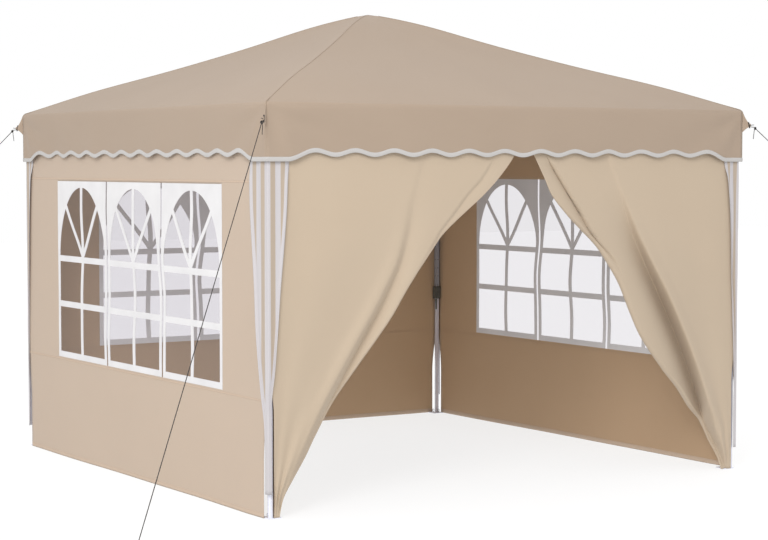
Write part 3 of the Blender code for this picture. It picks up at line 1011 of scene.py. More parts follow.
film_clear = plain_material("clear film", (0.62, 0.61, 0.64), 0.12)
film_noise = add_noise(film_clear, object_place(film_clear), 4.5, Distortion=1.2)
set_finish(film_clear, None, add_bump(film_clear, film_noise, 0.012, 0.5))
see_through = add_node(film_clear, "ShaderNodeBsdfTransparent")
see_through.inputs["Color"].default_value = (*FILM_TINT, 1.0)
film_mix = add_node(film_clear, "ShaderNodeMixShader")
film_mix.inputs["Fac"].default_value = FILM_SHARE
link(film_clear, see_through.outputs["BSDF"], film_mix.inputs[1])
link(film_clear, shader_of(film_clear).outputs["BSDF"], film_mix.inputs[2])
link(film_clear, film_mix.outputs["Shader"], film_clear.node_tree.nodes["Material Output"].inputs[0])
print("the film covers", FILM_SHARE, "of what is behind it")

# %% Make the windows
for side, turns in WALLS:
    bm = bmesh.new()
    for mesh in frame_meshes:
        bm.from_mesh(mesh)
    bmesh.ops.remove_doubles(bm, verts=bm.verts, dist=1e-5)
    for vert in bm.verts:
        x, z, depth = vert.co
        out = LATTICE_PROUD - LATTICE_THICK / 2 + depth
        vert.co = wall_point(turns, x + waver(x, z), z, out)
    lattice = make_piece(
        "window_frames_" + side, bm, [frame_white], "standing", "wall_cloth", closed=True
    )
    lattice.data.set_sharp_from_angle(angle=math.radians(40))
    slacken(lattice, WALL_TOP_Z)
    report(lattice)

    bm = bmesh.new()
    add_cloth(
        bm,
        FILM_COLUMNS,
        FILM_ROWS,
        lambda s, t: wall_point(
            turns, (2 * s - 1) * WINDOW_HALF, WINDOW_LOW_Z + t * WINDOW_HEIGHT, -FILM_IN
        ),
        (2 * WINDOW_HALF, WINDOW_HEIGHT),
    )
    film = make_piece(
        "window_clear_" + side, bm, [film_clear], "standing", "window_film", ["window_film_" + side]
    )
    slacken(film, WALL_TOP_Z)
    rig.sheet(film, flat=(2 * WINDOW_HALF, WINDOW_HEIGHT), held="stretched", rests_on=[lattice.name])
    report(film)

# %% [markdown]
# ## Door flaps
# The front wall is zipped open in the middle, and each half is drawn aside to the
# foot of its leg. So the cloth fans out from the foot: a flat panel beside the
# leg, a valley where it is pulled, a soft roll along the free edge, and a layer
# turned back inside that ends in the zip tape. Simulating it would take minutes
# and move with every change, so the fan is drawn: for each height a section runs
# from the leg, over the valley, round the roll and back behind. The lines are
# known on the plane of the wall, along a slanting line of sight, so cloth that
# lies deeper is moved sideways by SIGHT times its depth.

# %% Lines of the flaps, measured on the front wall as (height, x)
LEFT_FREE = (
    (0.003, -1.424), (0.09, -1.408), (0.18, -1.360), (0.28, -1.300), (0.37, -1.250),
    (0.52, -1.150), (0.70, -1.000), (0.93, -0.805), (1.06, -0.715), (1.19, -0.620),
    (1.30, -0.532), (1.36, -0.470), (1.42, -0.394), (1.48, -0.312), (1.54, -0.232),
    (1.63, -0.133), (1.74, -0.040), (1.81, -0.008),
)
LEFT_VALLEY = (
    (0.003, -1.440), (0.45, -1.200), (0.59, -1.115), (0.80, -0.980), (0.98, -0.860),
    (1.08, -0.800), (1.20, -0.735), (1.34, -0.690), (1.50, -0.655), (1.81, -0.560),
)
LEFT_LAPEL = (
    (0.003, -1.424), (1.35, -0.500), (1.46, -0.400), (1.54, -0.330), (1.63, -0.235),
    (1.81, -0.120),
)
RIGHT_FREE = (
    (0.003, 1.385), (0.068, 1.368), (0.161, 1.325), (0.25, 1.300), (0.35, 1.200),
    (0.47, 1.100), (0.57, 1.000), (0.76, 0.840), (0.90, 0.760), (1.06, 0.680),
    (1.20, 0.580), (1.27, 0.520), (1.35, 0.420), (1.42, 0.330), (1.53, 0.210),
    (1.61, 0.160), (1.73, 0.090), (1.81, 0.040),
)
RIGHT_VALLEY = (
    (0.003, 1.400), (0.15, 1.345), (0.27, 1.295), (0.40, 1.245), (0.60, 1.160),
    (0.80, 1.060), (0.98, 0.960), (1.14, 0.860), (1.34, 0.740), (1.81, 0.520),
)
RIGHT_LAPEL = (
    (0.003, 1.385), (1.18, 0.620), (1.32, 0.480), (1.42, 0.405), (1.54, 0.315),
    (1.64, 0.240), (1.81, 0.120),
)
print("each flap follows three lines, of", len(LEFT_FREE), "points or fewer")

# %% Shape of the flaps
FLAP_ROWS = 130
FRONT_COLUMNS = 170
ROLL_COLUMNS = 10
BACK_COLUMNS = 36
TRUSS_CLEAR_Z = 1.66
TRUSS_FULL_Z = 1.74
LEG_SIDE_TOP = 1.4770
LEG_SIDE_LOW = 1.452
LEG_SIDE_Z = (0.50, 0.72)
SIGHT = 0.60
FREE_FALL = 1.7
STEEP_FALL = 2.6
DRAWN_HARD_Z = (0.85, 1.62)
LEAST_DRAWN = 0.06
LAPEL_Z = (1.05, 1.35)
VALLEY_STEP = 0.020
SHOULDER_BESIDE = 0.048
SHOULDER_WIDTH = 0.040
LAPEL_WIDTH = 0.055
LAPEL_STEP = 0.008
VALLEY_LEAN = (-0.008, 0.015)
LAPEL_LEAN = (-0.004, 0.009)
GATHERS = 17.0
GATHER_DEPTH = 0.006
GATHER_REACH = 0.40
RAYS = 11.0
RAY_DEPTH = 0.0045
DRIFT_DEPTH = 0.0035


def flap_leg_side(z):
    """Where the flap ends beside its leg, a little drawn in below."""
    return LEG_SIDE_TOP - (LEG_SIDE_TOP - LEG_SIDE_LOW) * (1 - soft(z, *LEG_SIDE_Z))


def fold(distance, free_width, leg_width):
    """1 in a fold's line, falling to 0 on either side of it, slowly at first."""
    if distance > 0:
        return math.exp(-((distance / free_width) ** FREE_FALL))
    return math.exp(-(abs(distance / leg_width) ** STEEP_FALL))


def side_of(flap):
    """-1 for the left flap, 1 for the right one."""
    return -1 if flap["free"][0][1] < 0 else 1


def lowness(z):
    """1 where the flap is drawn in hard, and LEAST_DRAWN under the valance."""
    drawn = LEAST_DRAWN + (1 - LEAST_DRAWN) * (1 - soft(z, *DRAWN_HARD_Z))
    return drawn * soft(z, -0.05, 0.30)


def lapel_part(z):
    """0 below, where the lapel is lost in the roll, and 1 above breast height."""
    return soft(z, *LAPEL_Z)


def from_line(flap, line, x, z):
    """Distance from one of the flap's lines, growing toward its free edge."""
    return (along(flap[line], z) - x) * side_of(flap)


print("drawn in at hip height:", round(lowness(0.9), 2), "and at the eave:", round(lowness(1.8), 2))


# %% Depth of a flap
def flap_depth(flap, x, z, share):
    """How far the front layer lies inside the wall's face, from the fold lines."""
    valley = from_line(flap, "valley", x, z)
    lapel = from_line(flap, "lapel", x, z)
    low = lowness(z)
    phase = flap["phase"]
    depth = flap["valley_depth"] * low * fold(valley, flap["valley_free"], VALLEY_STEP)
    depth -= flap["shoulder"] * low * bell(valley, -SHOULDER_BESIDE, SHOULDER_WIDTH)
    upper = lapel_part(z) * (1 - soft(z, TRUSS_CLEAR_Z, TRUSS_FULL_Z))
    depth += flap["lapel_depth"] * fold(lapel, LAPEL_WIDTH, LAPEL_STEP) * upper
    gather = math.sin(share * GATHERS + phase) * math.exp(-z / GATHER_REACH)
    depth += GATHER_DEPTH * gather * soft(share, 0.0, 0.15) * soft(z, -0.02, 0.12)
    ray = math.sin(share * RAYS + 2.0 * phase) * soft(z, 0.2, 0.9) * (1 - soft(z, 1.2, 1.7))
    depth += RAY_DEPTH * ray * soft(share, 0.0, 0.3)
    drift = math.sin(3.1 * z + 2.0 * share) + noise.noise(Vector((x * 2.0, z * 1.5, phase)))
    depth += DRIFT_DEPTH * drift * (0.2 + 0.8 * low) * soft(share, 0.0, 0.2)
    return depth


def overlap(flap, x, z):
    """How far the panel's rounded edge leans over the valley and the lapel."""
    valley = from_line(flap, "valley", x, z)
    lapel = from_line(flap, "lapel", x, z)
    lean = flap["lean"] * lowness(z) * bell(valley, *VALLEY_LEAN)
    lean += flap["lapel_lean"] * bell(lapel, *LAPEL_LEAN) * lapel_part(z)
    return -side_of(flap) * lean


print("a fold's free side reaches", round(fold(1.0, 1.0, 1.0), 2), "of its depth at its width")

# %% Section of a flap
FLAP_FACE = -WALL_FACE + 0.0008
FRONT_SAMPLES = 120
SAMPLE_REACH = 0.015
LEAST_ROLL = 0.0015
ROLL_WIDE = 1.2
BACK_SWING = 0.010
BACK_GAP = 0.004
LEAST_GAP = 0.003
BACK_SHARE = 0.90
BACK_RANGE_Z = (-0.25, 1.85)
BACK_FULLNESS = 0.8
front_rows = {}


def front_point(flap, z, share):
    """A point of the front layer, with share 0 at the leg and 1 at the free edge."""
    leg = side_of(flap) * flap_leg_side(z)
    x = leg + (along(flap["free"], z) - leg) * share
    depth = flap_depth(flap, x, z, share)
    moved = SIGHT * depth * soft(share, 0.0, 0.25)
    return Vector((x + overlap(flap, x, z) + moved, FLAP_FACE + depth, z))


def behind_front(flap, z, x):
    """The depth that clears the front layer near x, where its folds reach back."""
    key = (flap["name"], round(z, 5))
    if key not in front_rows:
        shares = [index / FRONT_SAMPLES for index in range(FRONT_SAMPLES + 1)]
        front_rows[key] = [front_point(flap, z, share) for share in shares]
    return max(spot.y - max(abs(spot.x - x) - SAMPLE_REACH, 0.0) for spot in front_rows[key])


def flap_section(flap, z, column):
    """A point of the flap's section at one height, from the leg round to the back."""
    side = side_of(flap)
    leg = side * flap_leg_side(z)
    roll = LEAST_ROLL + flap["roll"] * (1 - soft(z, 1.25, TRUSS_CLEAR_Z)) * soft(z, 0.0, 0.35)
    if column <= FRONT_COLUMNS:
        return front_point(flap, z, column / FRONT_COLUMNS)
    free, edge_y = front_point(flap, z, 1.0).xy
    if column <= FRONT_COLUMNS + ROLL_COLUMNS:
        angle = math.pi * (column - FRONT_COLUMNS) / ROLL_COLUMNS
        x = free - side * roll * ROLL_WIDE * math.sin(angle)
        return Vector((x, edge_y + roll * (1 - math.cos(angle)), z))
    share = (column - FRONT_COLUMNS - ROLL_COLUMNS) / BACK_COLUMNS
    width = flap["back_width"] * math.sin(math.pi * soft(z, *BACK_RANGE_Z)) ** BACK_FULLNESS
    width = min(width, abs(leg - free) * BACK_SHARE)
    x = free + side * width * share
    ahead = behind_front(flap, z, x)
    start = max(edge_y, ahead) + 2 * roll
    swing = BACK_SWING * math.sin(share * 9.0 + 2.0 * z) * (1 - soft(z, 1.2, TRUSS_CLEAR_Z))
    y = start + (swing + BACK_GAP) * soft(share, 0.0, 0.3) * (1 - soft(z, 1.4, TRUSS_CLEAR_Z))
    return Vector((x, max(y, ahead + LEAST_GAP), z))


flap_columns = FRONT_COLUMNS + ROLL_COLUMNS + BACK_COLUMNS
print("a flap's section has", flap_columns + 1, "points")


# %% Make the flaps
FLAPS = (
    {
        "name": "left", "free": LEFT_FREE, "valley": LEFT_VALLEY, "lapel": LEFT_LAPEL,
        "valley_depth": 0.045, "valley_free": 0.060, "shoulder": 0.009, "lean": 0.010,
        "lapel_depth": 0.009, "lapel_lean": 0.007, "roll": 0.014, "back_width": 0.76, "phase": 0.4,
    },
    {
        "name": "right", "free": RIGHT_FREE, "valley": RIGHT_VALLEY, "lapel": RIGHT_LAPEL,
        "valley_depth": 0.125, "valley_free": 0.110, "shoulder": 0.014, "lean": 0.016,
        "lapel_depth": 0.024, "lapel_lean": 0.016, "roll": 0.016, "back_width": 0.76, "phase": 2.1,
    },
)
for flap in FLAPS:
    bm = bmesh.new()
    add_cloth(
        bm,
        flap_columns,
        FLAP_ROWS,
        lambda s, t: flap_section(flap, WALL_LOW_Z + t * WALL_HEIGHT, s * flap_columns),
        (WALL_HALF, WALL_HEIGHT),
    )
    if flap["name"] == "right":
        bmesh.ops.reverse_faces(bm, faces=bm.faces)
    piece = make_piece(
        "door_cloth_" + flap["name"], bm, [door_cloth, wall_inside_painted_shade], "standing", "wall_cloth",
        ["door_flap_" + flap["name"]],
    )
    thicken(piece, CLOTH, 1)
    slacken(piece, WALL_TOP_Z)
    report(piece)

# %% [markdown]
# ## Striped leg drapes
# A striped cover hides each leg. It is one strip folded round the corner: wide
# under the valance, and cut narrower to the ground. The stripes are woven in and
# run straight down, so the slanting edges cut them off, and a white binding runs
# along each edge. The stripes follow the distance from the corner, a wider wing
# having wider stripes, and the binding follows the distance from the edge. A
# second UV map holds both, in metres.

# %% Striped cloth
STRIPE_EDGES = (0.0198, 0.0465, 0.0800)
STRIPE_SOFT = 0.0008
EDGE_BINDING = 0.022
STRIPED_WIDTH = 0.130
STRIPES_ACROSS = 0.20
SHADED = 0.94
WHITE = (1, 1, 1, 1)
BLACK = (0, 0, 0, 1)


def make_striped(name, pale, beige):
    """Stripes along the first UV axis, and a white binding near 0 of the second."""
    material = make_cloth(name, pale, tuple(value * SHADED for value in pale), None, 0.7)
    plain = shader_of(material).inputs["Base Color"].links[0].from_socket
    from_corner, from_edge = split_place(material, uv_place(material, "stripes"))[:2]
    steps = add_node(material, "ShaderNodeValToRGB")
    elements = steps.color_ramp.elements
    elements[0].color = BLACK
    elements[1].color = WHITE
    for index, edge in enumerate(STRIPE_EDGES):
        for shift in (-STRIPE_SOFT, STRIPE_SOFT):
            coloured = (shift > 0) == (index % 2 == 0)
            stop = elements.new((edge + shift) / STRIPES_ACROSS)
            stop.color = WHITE if coloured else BLACK
    across = add_math(material, "DIVIDE", from_corner, STRIPES_ACROSS)
    link(material, across, steps.inputs["Fac"])
    inner = ramp(material, from_edge, EDGE_BINDING - STRIPE_SOFT, EDGE_BINDING + STRIPE_SOFT)
    coloured = add_math(material, "MULTIPLY", steps.outputs["Color"], inner)
    set_finish(material, mix_colours(material, coloured, plain, beige))
    return material


striped_cloth = make_striped("striped cloth", (0.520, 0.495, 0.505), (0.415, 0.340, 0.268))
print("stripes end at", STRIPE_EDGES, "m from the corner")

# %% Shape of the drapes
DRAPE_LOW_Z = 0.120
DRAPE_TOP_Z = 1.760
DRAPE_FACE = 1.4882
DRAPE_ROUND = 0.005
DRAPE_CURL = 0.010
DRAPE_FLUTE = 0.0018
FLUTES = 26.0
CURL_FROM = 0.72
CURL_LOW_Z = (0.25, 0.80)
CURL_HIGH_Z = (1.60, 1.70)
DRAPE_CUT = (0.29, DRAPE_TOP_Z - DRAPE_LOW_Z)
DRAPE_CUT_SHARE = 0.62
DRAPE_COLUMNS = 44
DRAPE_ROWS = 70
WIDE_WING = (
    (0.12, 0.030), (0.45, 0.036), (0.60, 0.065), (0.90, 0.110), (1.10, 0.124),
    (1.30, 0.145), (1.50, 0.166), (1.76, 0.172),
)
NARROW_WING = (
    (0.12, 0.021), (0.55, 0.024), (0.70, 0.044), (0.90, 0.062), (1.10, 0.077),
    (1.30, 0.096), (1.50, 0.112), (1.76, 0.120),
)
SLIM_WING = (
    (0.12, 0.022), (0.60, 0.034), (0.90, 0.051), (1.10, 0.063), (1.30, 0.070),
    (1.50, 0.083), (1.76, 0.112),
)
MIDDLE_WING = ((0.12, 0.025), (0.50, 0.030), (0.90, 0.080), (1.30, 0.112), (1.76, 0.145))
WINGS = {
    "front_left": (WIDE_WING, NARROW_WING),
    "front_right": (SLIM_WING, MIDDLE_WING),
    "back_right": (MIDDLE_WING, MIDDLE_WING),
    "back_left": (MIDDLE_WING, SLIM_WING),
}


def round_corner(distance):
    """The distance past the corner, eased so that the corner is round."""
    return (distance + math.hypot(distance, DRAPE_ROUND)) / 2


def drape_point(wings, s, t):
    """The strip round the +X +Y corner, from the edge on the +X face at s 0."""
    z = DRAPE_LOW_Z + DRAPE_CUT[1] * t
    first = along(wings[0], z)
    second = along(wings[1], z)
    across = -first + (first + second) * s
    near_edge = soft(max(-across / first, across / second), CURL_FROM, 1.0)
    curl = DRAPE_CURL * near_edge * soft(z, *CURL_LOW_Z) * (1 - soft(z, *CURL_HIGH_Z))
    flute = DRAPE_FLUTE * math.sin(s * FLUTES + 2.4 * z) * soft(z, 0.2, 1.0)
    out = DRAPE_FACE + curl + flute
    x = out - round_corner(across)
    y = out - round_corner(-across)
    return Vector((x, y, z))


print("a drape is", round(DRAPE_CUT[1], 2), "m tall")

# %% Make the drapes
for corner, turns in CORNERS:
    bm = bmesh.new()
    wings = WINGS[corner]
    add_cloth(
        bm,
        DRAPE_COLUMNS,
        DRAPE_ROWS,
        lambda s, t: turned(drape_point(wings, s, t), turns),
        DRAPE_CUT,
    )
    layer = bm.loops.layers.uv["cloth"]
    stripes = bm.loops.layers.uv.new("stripes")
    for face in bm.faces:
        for loop in face.loops:
            across, up = loop[layer].uv
            first, second = (along(wing, DRAPE_LOW_Z + up) for wing in wings)
            inward = (first + second) * across / DRAPE_CUT[0]
            wing = wings[0] if inward < first else wings[1]
            scale = STRIPED_WIDTH / wing[-1][1]
            edge = min(inward, first + second - inward)
            loop[stripes].uv = (abs(inward - first) * scale, edge * scale)
    middle = turned((1, 1, 0), turns)
    bm.normal_update()
    sample = max(bm.faces, key=lambda face: abs(face.normal.dot(middle)))
    if sample.normal.dot(middle) < 0:
        bmesh.ops.reverse_faces(bm, faces=bm.faces)
    drape = make_piece(
        "drape_" + corner, bm, [striped_cloth], "standing", "striped_cloth", ["leg_drape_" + corner]
    )
    thicken(drape, CLOTH)
    slacken(drape, DRAPE_TOP_Z)
    cut_area = DRAPE_CUT[0] * DRAPE_CUT[1] * DRAPE_CUT_SHARE
    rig.sheet(drape, flat=DRAPE_CUT, held="hung", area=cut_area, rests_on=["inner_leg_" + corner])
    report(drape)

# %% [markdown]
# ## Piping on the hips
# The four gores are joined with a raised seam. It runs down each hip, turns over
# the eave and ends above the corner tab. It is a thin tube that follows the hip's
# own points, so it sits on the cloth everywhere, and it is darker than the cover:
# painted shade for the dark line along each hip. add_tube() is the tool for this
# and for the ropes: a ring of points carried along a path, closed at both ends.

# %% Tubes along a path, and the piping
def add_tube(bm, path, radius, up=(0, 0, 1), around=10, lobes=0.0, twist=0.0):
    """A closed tube along a list of points, a laid rope with lobes and twist."""
    rows = len(path) + 1
    made = bmesh.ops.create_grid(bm, x_segments=around, y_segments=rows, size=0.5)
    up = Vector(up)
    travelled = [0.0]
    for start, end in zip(path, path[1:]):
        travelled.append(travelled[-1] + (end - start).length)
    for vert in made["verts"]:
        column = round((vert.co.x + 0.5) * around)
        row = round((vert.co.y + 0.5) * rows)
        index = min(max(row - 1, 0), len(path) - 1)
        before = path[max(index - 1, 0)]
        after = path[min(index + 1, len(path) - 1)]
        tangent = (after - before).normalized()
        side = tangent.cross(up).normalized()
        normal = side.cross(tangent)
        angle = math.tau * column / around
        shape = 1 + lobes * math.cos(3 * (angle - twist * travelled[index]))
        reach = 0.0 if row in (0, rows) else radius * shape
        vert.co = path[index] + reach * (side * math.cos(angle) + normal * math.sin(angle))
    bmesh.ops.remove_doubles(bm, verts=made["verts"], dist=1e-6)


PIPING_RADIUS = 0.0019
PIPING_END = 3

# Darker than the canopy cloth: painted shade for the shadow line along each raised hip seam.
piping_painted_shade = make_cloth("hip seam painted shade", (0.34, 0.26, 0.19), (0.28, 0.21, 0.15))
piping_bm = bmesh.new()
for corner, turns in CORNERS:
    last = ROOF_ROWS + EAVE_ROWS + PIPING_END
    hip = []
    for row in range(1, last + 1):
        x, y, z = cover_point(0, 1.0, row)
        hip.append(turned((x, -y, z), turns))
    add_tube(piping_bm, hip, PIPING_RADIUS, up=turned((1, -1, 0), turns), around=8)
piping = make_piece(
    "hip_piping", piping_bm, [piping_painted_shade], "head", "canopy_cloth", closed=True
)
report(piping)

# %% [markdown]
# ## Seams and hems of the walls
# Above and below the windows the wall is joined from lengths of cloth, and the
# overlap shows as a flat raised band with a line of stitches along each edge. The
# ground hem is folded over, so it is a strip that runs down the outside, round the
# lower edge and up the inside. The bands ride on the wall's own swell.

# %% Stitched cloth
SEAM_HEIGHT = 0.013
HEM_HEIGHT = 0.028
STITCH = 0.0045
STITCH_WIDE = 0.0011
STITCH_CORE = 0.0006
STITCH_DEPTH = 0.0006
STITCH_BEAT = (-0.75, -0.45)
STITCH_SHADE = 0.80


def make_stitched(name, colour, shade, glow, lines, height):
    """Cloth with rows of stitches at the given heights across a strip."""
    material = make_cloth(name, colour, shade, glow)
    sideways, upwards = split_place(material, uv_place(material))[:2]
    run = add_math(material, "MULTIPLY", sideways, math.tau / STITCH)
    beat = ramp(material, add_math(material, "SINE", run, 0.0), *STITCH_BEAT)
    rows = None
    for line in lines:
        away = add_math(material, "SUBTRACT", upwards, line * height)
        near = ramp(material, add_math(material, "ABSOLUTE", away, 0.0), STITCH_WIDE, STITCH_CORE)
        rows = near if rows is None else add_math(material, "MAXIMUM", rows, near)
    thread = add_math(material, "MULTIPLY", rows, beat)
    inputs = shader_of(material).inputs
    base = inputs["Base Color"].links[0].from_socket
    under = inputs["Normal"].links[0].from_socket
    darker = tuple(value * STITCH_SHADE for value in shade)
    sewn = add_bump(material, thread, STITCH_DEPTH, 0.8, under)
    set_finish(material, mix_colours(material, thread, base, darker), sewn)
    return material


wall_tones = ((0.650, 0.515, 0.400), (0.600, 0.470, 0.362))
seam_cloth = make_stitched("wall seam", *wall_tones, WARM, (0.18, 0.82), SEAM_HEIGHT)
hem_cloth = make_stitched("wall hem", *wall_tones, WARM, (0.12, 0.88), 2 * HEM_HEIGHT)

print("stitches are", STITCH, "m long")

# %% Shape of the seams and hems
SEAM_PROUD = 0.0011
SEAM_SUNK = 0.0002
SEAM_END = 0.004
SEAM_ROWS = 6
SEAM_LEVELS = (0.5660, 1.6090)
HEM_LOW_Z = 0.0008
HEM_ROWS = 8
HEM_PROUD = 0.0008
HEM_END = 0.001


def seam_point(turns, level, s, t):
    """A point of a seam's band, which is thickest along its middle."""
    x = (2 * s - 1) * (WALL_HALF - SEAM_END)
    z = level + (t - 0.5) * SEAM_HEIGHT
    proud = SEAM_PROUD * (1 - (2 * t - 1) ** 6) - SEAM_SUNK
    return wall_point(turns, x, z, proud)


def hem_point(turns, s, t):
    """Up the inside, round the lower edge and up the outside."""
    x = (2 * s - 1) * (WALL_HALF - HEM_END)
    lift = abs(2 * t - 1) * HEM_HEIGHT
    out = HEM_PROUD if t > 0.5 else -CLOTH - HEM_PROUD
    if t in (0.0, 0.5, 1.0):
        out = -CLOTH / 2
    return wall_point(turns, x, HEM_LOW_Z + lift, out)


print("seams at", SEAM_LEVELS)

# %% Make the seams and hems
for side, turns in WALLS:
    bm = bmesh.new()
    for level in SEAM_LEVELS:
        add_cloth(
            bm,
            WALL_COLUMNS,
            SEAM_ROWS,
            lambda s, t: seam_point(turns, level, s, t),
            (2 * WALL_HALF, SEAM_HEIGHT),
        )
    seams = make_piece("wall_seams_" + side, bm, [seam_cloth], "standing", "wall_cloth")
    slacken(seams, WALL_TOP_Z)
    bm = bmesh.new()
    add_cloth(
        bm,
        WALL_COLUMNS,
        HEM_ROWS,
        lambda s, t: hem_point(turns, s, t),
        (2 * WALL_HALF, 2 * HEM_HEIGHT),
    )
    hem = make_piece("wall_hem_" + side, bm, [hem_cloth], "standing", "wall_cloth")
    slacken(hem, WALL_TOP_Z)
report(seams)
report(hem)

# %% [markdown]
# ## Corner tabs, knots and guy ropes
# At each corner a doubled ear of cloth stands out from the seam. A black bar is
# sewn through its tip, and the guy rope is tied to it: a round knot, a short tail
# that hangs down, and the long rope to its peg. The rope is laid from three
# strands, so its section has three lobes that turn along it. A plain cylinder
# would do from afar, but close by the strands are what make it a rope.

# %% Corner tabs
TAB_REACH = 0.047
TAB_HIGH_Z = 1.984
TAB_LOW_Z = 1.866
TAB_TIP_Z = 1.906
TAB_TIP_HALF = 0.008
TAB_SUNK = 0.0015
TAB_ROOT = ROOF_HALF * math.sqrt(2) - TAB_SUNK
TAB_SWAY = 0.003
TAB_THICK = 0.0022
TAB_COLUMNS = 14
TAB_ROWS = 18
KNOT_Z = 1.889
KNOT_OUT = ROOF_HALF * math.sqrt(2) + 0.069
KNOT_RADIUS = 0.0085

cord_black = plain_material("black cord", (0.028, 0.026, 0.025), 0.85)
cord_fibre = add_noise(cord_black, object_place(cord_black), 900.0)
cord_tone = ramp(cord_black, cord_fibre, 0.35, 0.7)
cord_colour = mix_colours(cord_black, cord_tone, (0.020, 0.018, 0.017), (0.060, 0.056, 0.052))
set_finish(cord_black, cord_colour, add_bump(cord_black, cord_fibre, 0.0002, 0.8))


def on_diagonal(turns, out, z, beside=0.0):
    """A point out along a corner's diagonal, at height z, or beside it."""
    root = math.sqrt(2)
    return turned(((out - beside) / root, (out + beside) / root, z), turns)


def tab_point(turns, s, t):
    """A point of the ear, whose upper and lower edges close to a narrow tip."""
    high = TAB_HIGH_Z + (TAB_TIP_Z + TAB_TIP_HALF - TAB_HIGH_Z) * math.sin(s * QUARTER)
    low = TAB_LOW_Z + (TAB_TIP_Z - TAB_TIP_HALF - TAB_LOW_Z) * math.sin(s * QUARTER)
    sway = TAB_SWAY * math.sin(s * math.pi) * math.sin(t * math.pi)
    return on_diagonal(turns, TAB_ROOT + TAB_REACH * s, low + (high - low) * t, sway)


tab_flat = (TAB_REACH, (TAB_HIGH_Z - TAB_LOW_Z + 2 * TAB_TIP_HALF) / 2)
for corner, turns in CORNERS:
    bm = bmesh.new()
    add_cloth(bm, TAB_COLUMNS, TAB_ROWS, lambda s, t: tab_point(turns, s, t), tab_flat)
    tab = make_piece(
        "tab_cloth_" + corner, bm, [canopy_cloth], "head", "canopy_cloth", ["corner_tab_" + corner]
    )
    thicken(tab, TAB_THICK).modifiers["thickness"].offset = 0
    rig.sheet(tab, flat=tab_flat, held="stretched", rests_on=["canopy_cover"])
report(tab)

# %% Ropes
ROPE_RADIUS = 0.0020
ROPE_LOBES = 0.16
ROPE_TWIST = math.tau / 0.055
ROPE_STEPS = 260
PEG_OUT = 2.930 * math.sqrt(2)
PEG_RADIUS = 0.003
PEG_STEPS = 20
ROPE_STOP = 0.012
ROPE_END_Z = 0.034
ROPE_SINK = 0.00028


def rope_path(turns):
    """From the knot to the peg, and once round the peg."""
    start = on_diagonal(turns, KNOT_OUT, KNOT_Z)
    end = on_diagonal(turns, PEG_OUT - ROPE_STOP, ROPE_END_Z)
    path = [start.lerp(end, step / ROPE_STEPS) for step in range(ROPE_STEPS + 1)]
    reach = PEG_RADIUS + ROPE_RADIUS
    for step in range(1, PEG_STEPS + 5):
        angle = math.pi - math.tau * step / PEG_STEPS
        out = PEG_OUT + reach * math.cos(angle) * (1 + 1.2 * math.exp(-step / 2.5))
        beside = reach * math.sin(angle)
        path.append(on_diagonal(turns, out, ROPE_END_Z - ROPE_SINK * step, beside))
    return path


def length_of(path):
    return sum((after - before).length for before, after in zip(path, path[1:]))


print("each rope is", round(length_of(rope_path(0)), 2), "m long")

# %% Knots with their tails
THIN_ROPE = ROPE_RADIUS * 0.9
RING_STEPS = 24
KNOT_TURNS = 3
KNOT_WEAVE = 0.22
TAIL_LENGTH = 0.058
TAIL_STEPS = 19
TAIL_IN = 0.004
TAIL_SWAY = 0.0012
LOOP_STEPS = 16
LOOP_IN = (0.006, 0.026)
LOOP_UP = (0.007, 0.006)
LOOP_HALF = 0.004
BAR_RADIUS = 0.0036
BAR_STEPS = 8
BAR_LOW = (-0.007, -0.016)
BAR_HIGH = (-0.013, 0.018)


def knot_ring(turns, spin):
    """One turn of the knot, a ring that weaves from side to side."""
    middle = on_diagonal(turns, KNOT_OUT, KNOT_Z)
    turn = Matrix.Rotation(spin * math.pi / KNOT_TURNS, 3, on_diagonal(turns, 1, 0))
    ring = []
    for step in range(RING_STEPS + 1):
        angle = math.tau * step / RING_STEPS
        spot = Vector((math.cos(angle), KNOT_WEAVE * math.sin(2 * angle), math.sin(angle)))
        ring.append(middle + (KNOT_RADIUS - ROPE_RADIUS) * (turn @ turned(spot, turns)))
    return ring


def knot_tail(turns):
    """The rope's short end, which hangs down from the knot."""
    tail = []
    for step in range(TAIL_STEPS + 1):
        drop = TAIL_LENGTH * step / TAIL_STEPS
        out = KNOT_OUT - TAIL_IN - 0.10 * drop
        tail.append(on_diagonal(turns, out, KNOT_Z - drop, TAIL_SWAY * math.sin(90 * drop)))
    return tail


def knot_loop(turns):
    """The bight that holds the knot to the tab."""
    loop = []
    for step in range(LOOP_STEPS + 1):
        angle = math.pi * step / LOOP_STEPS
        out = KNOT_OUT - LOOP_IN[0] - LOOP_IN[1] * math.sin(angle)
        height = KNOT_Z + LOOP_UP[0] + LOOP_UP[1] * (1 - math.cos(angle))
        loop.append(on_diagonal(turns, out, height, LOOP_HALF * math.cos(angle)))
    return loop


def sewn_bar(turns):
    """The black bar that is sewn through the tab's tip."""
    low, high = (
        on_diagonal(turns, TAB_ROOT + TAB_REACH + out, TAB_TIP_Z + up) for out, up in (BAR_LOW, BAR_HIGH)
    )
    return [low.lerp(high, step / BAR_STEPS) for step in range(BAR_STEPS + 1)]


print("a knot's tail is", round(length_of(knot_tail(0)), 3), "m long")

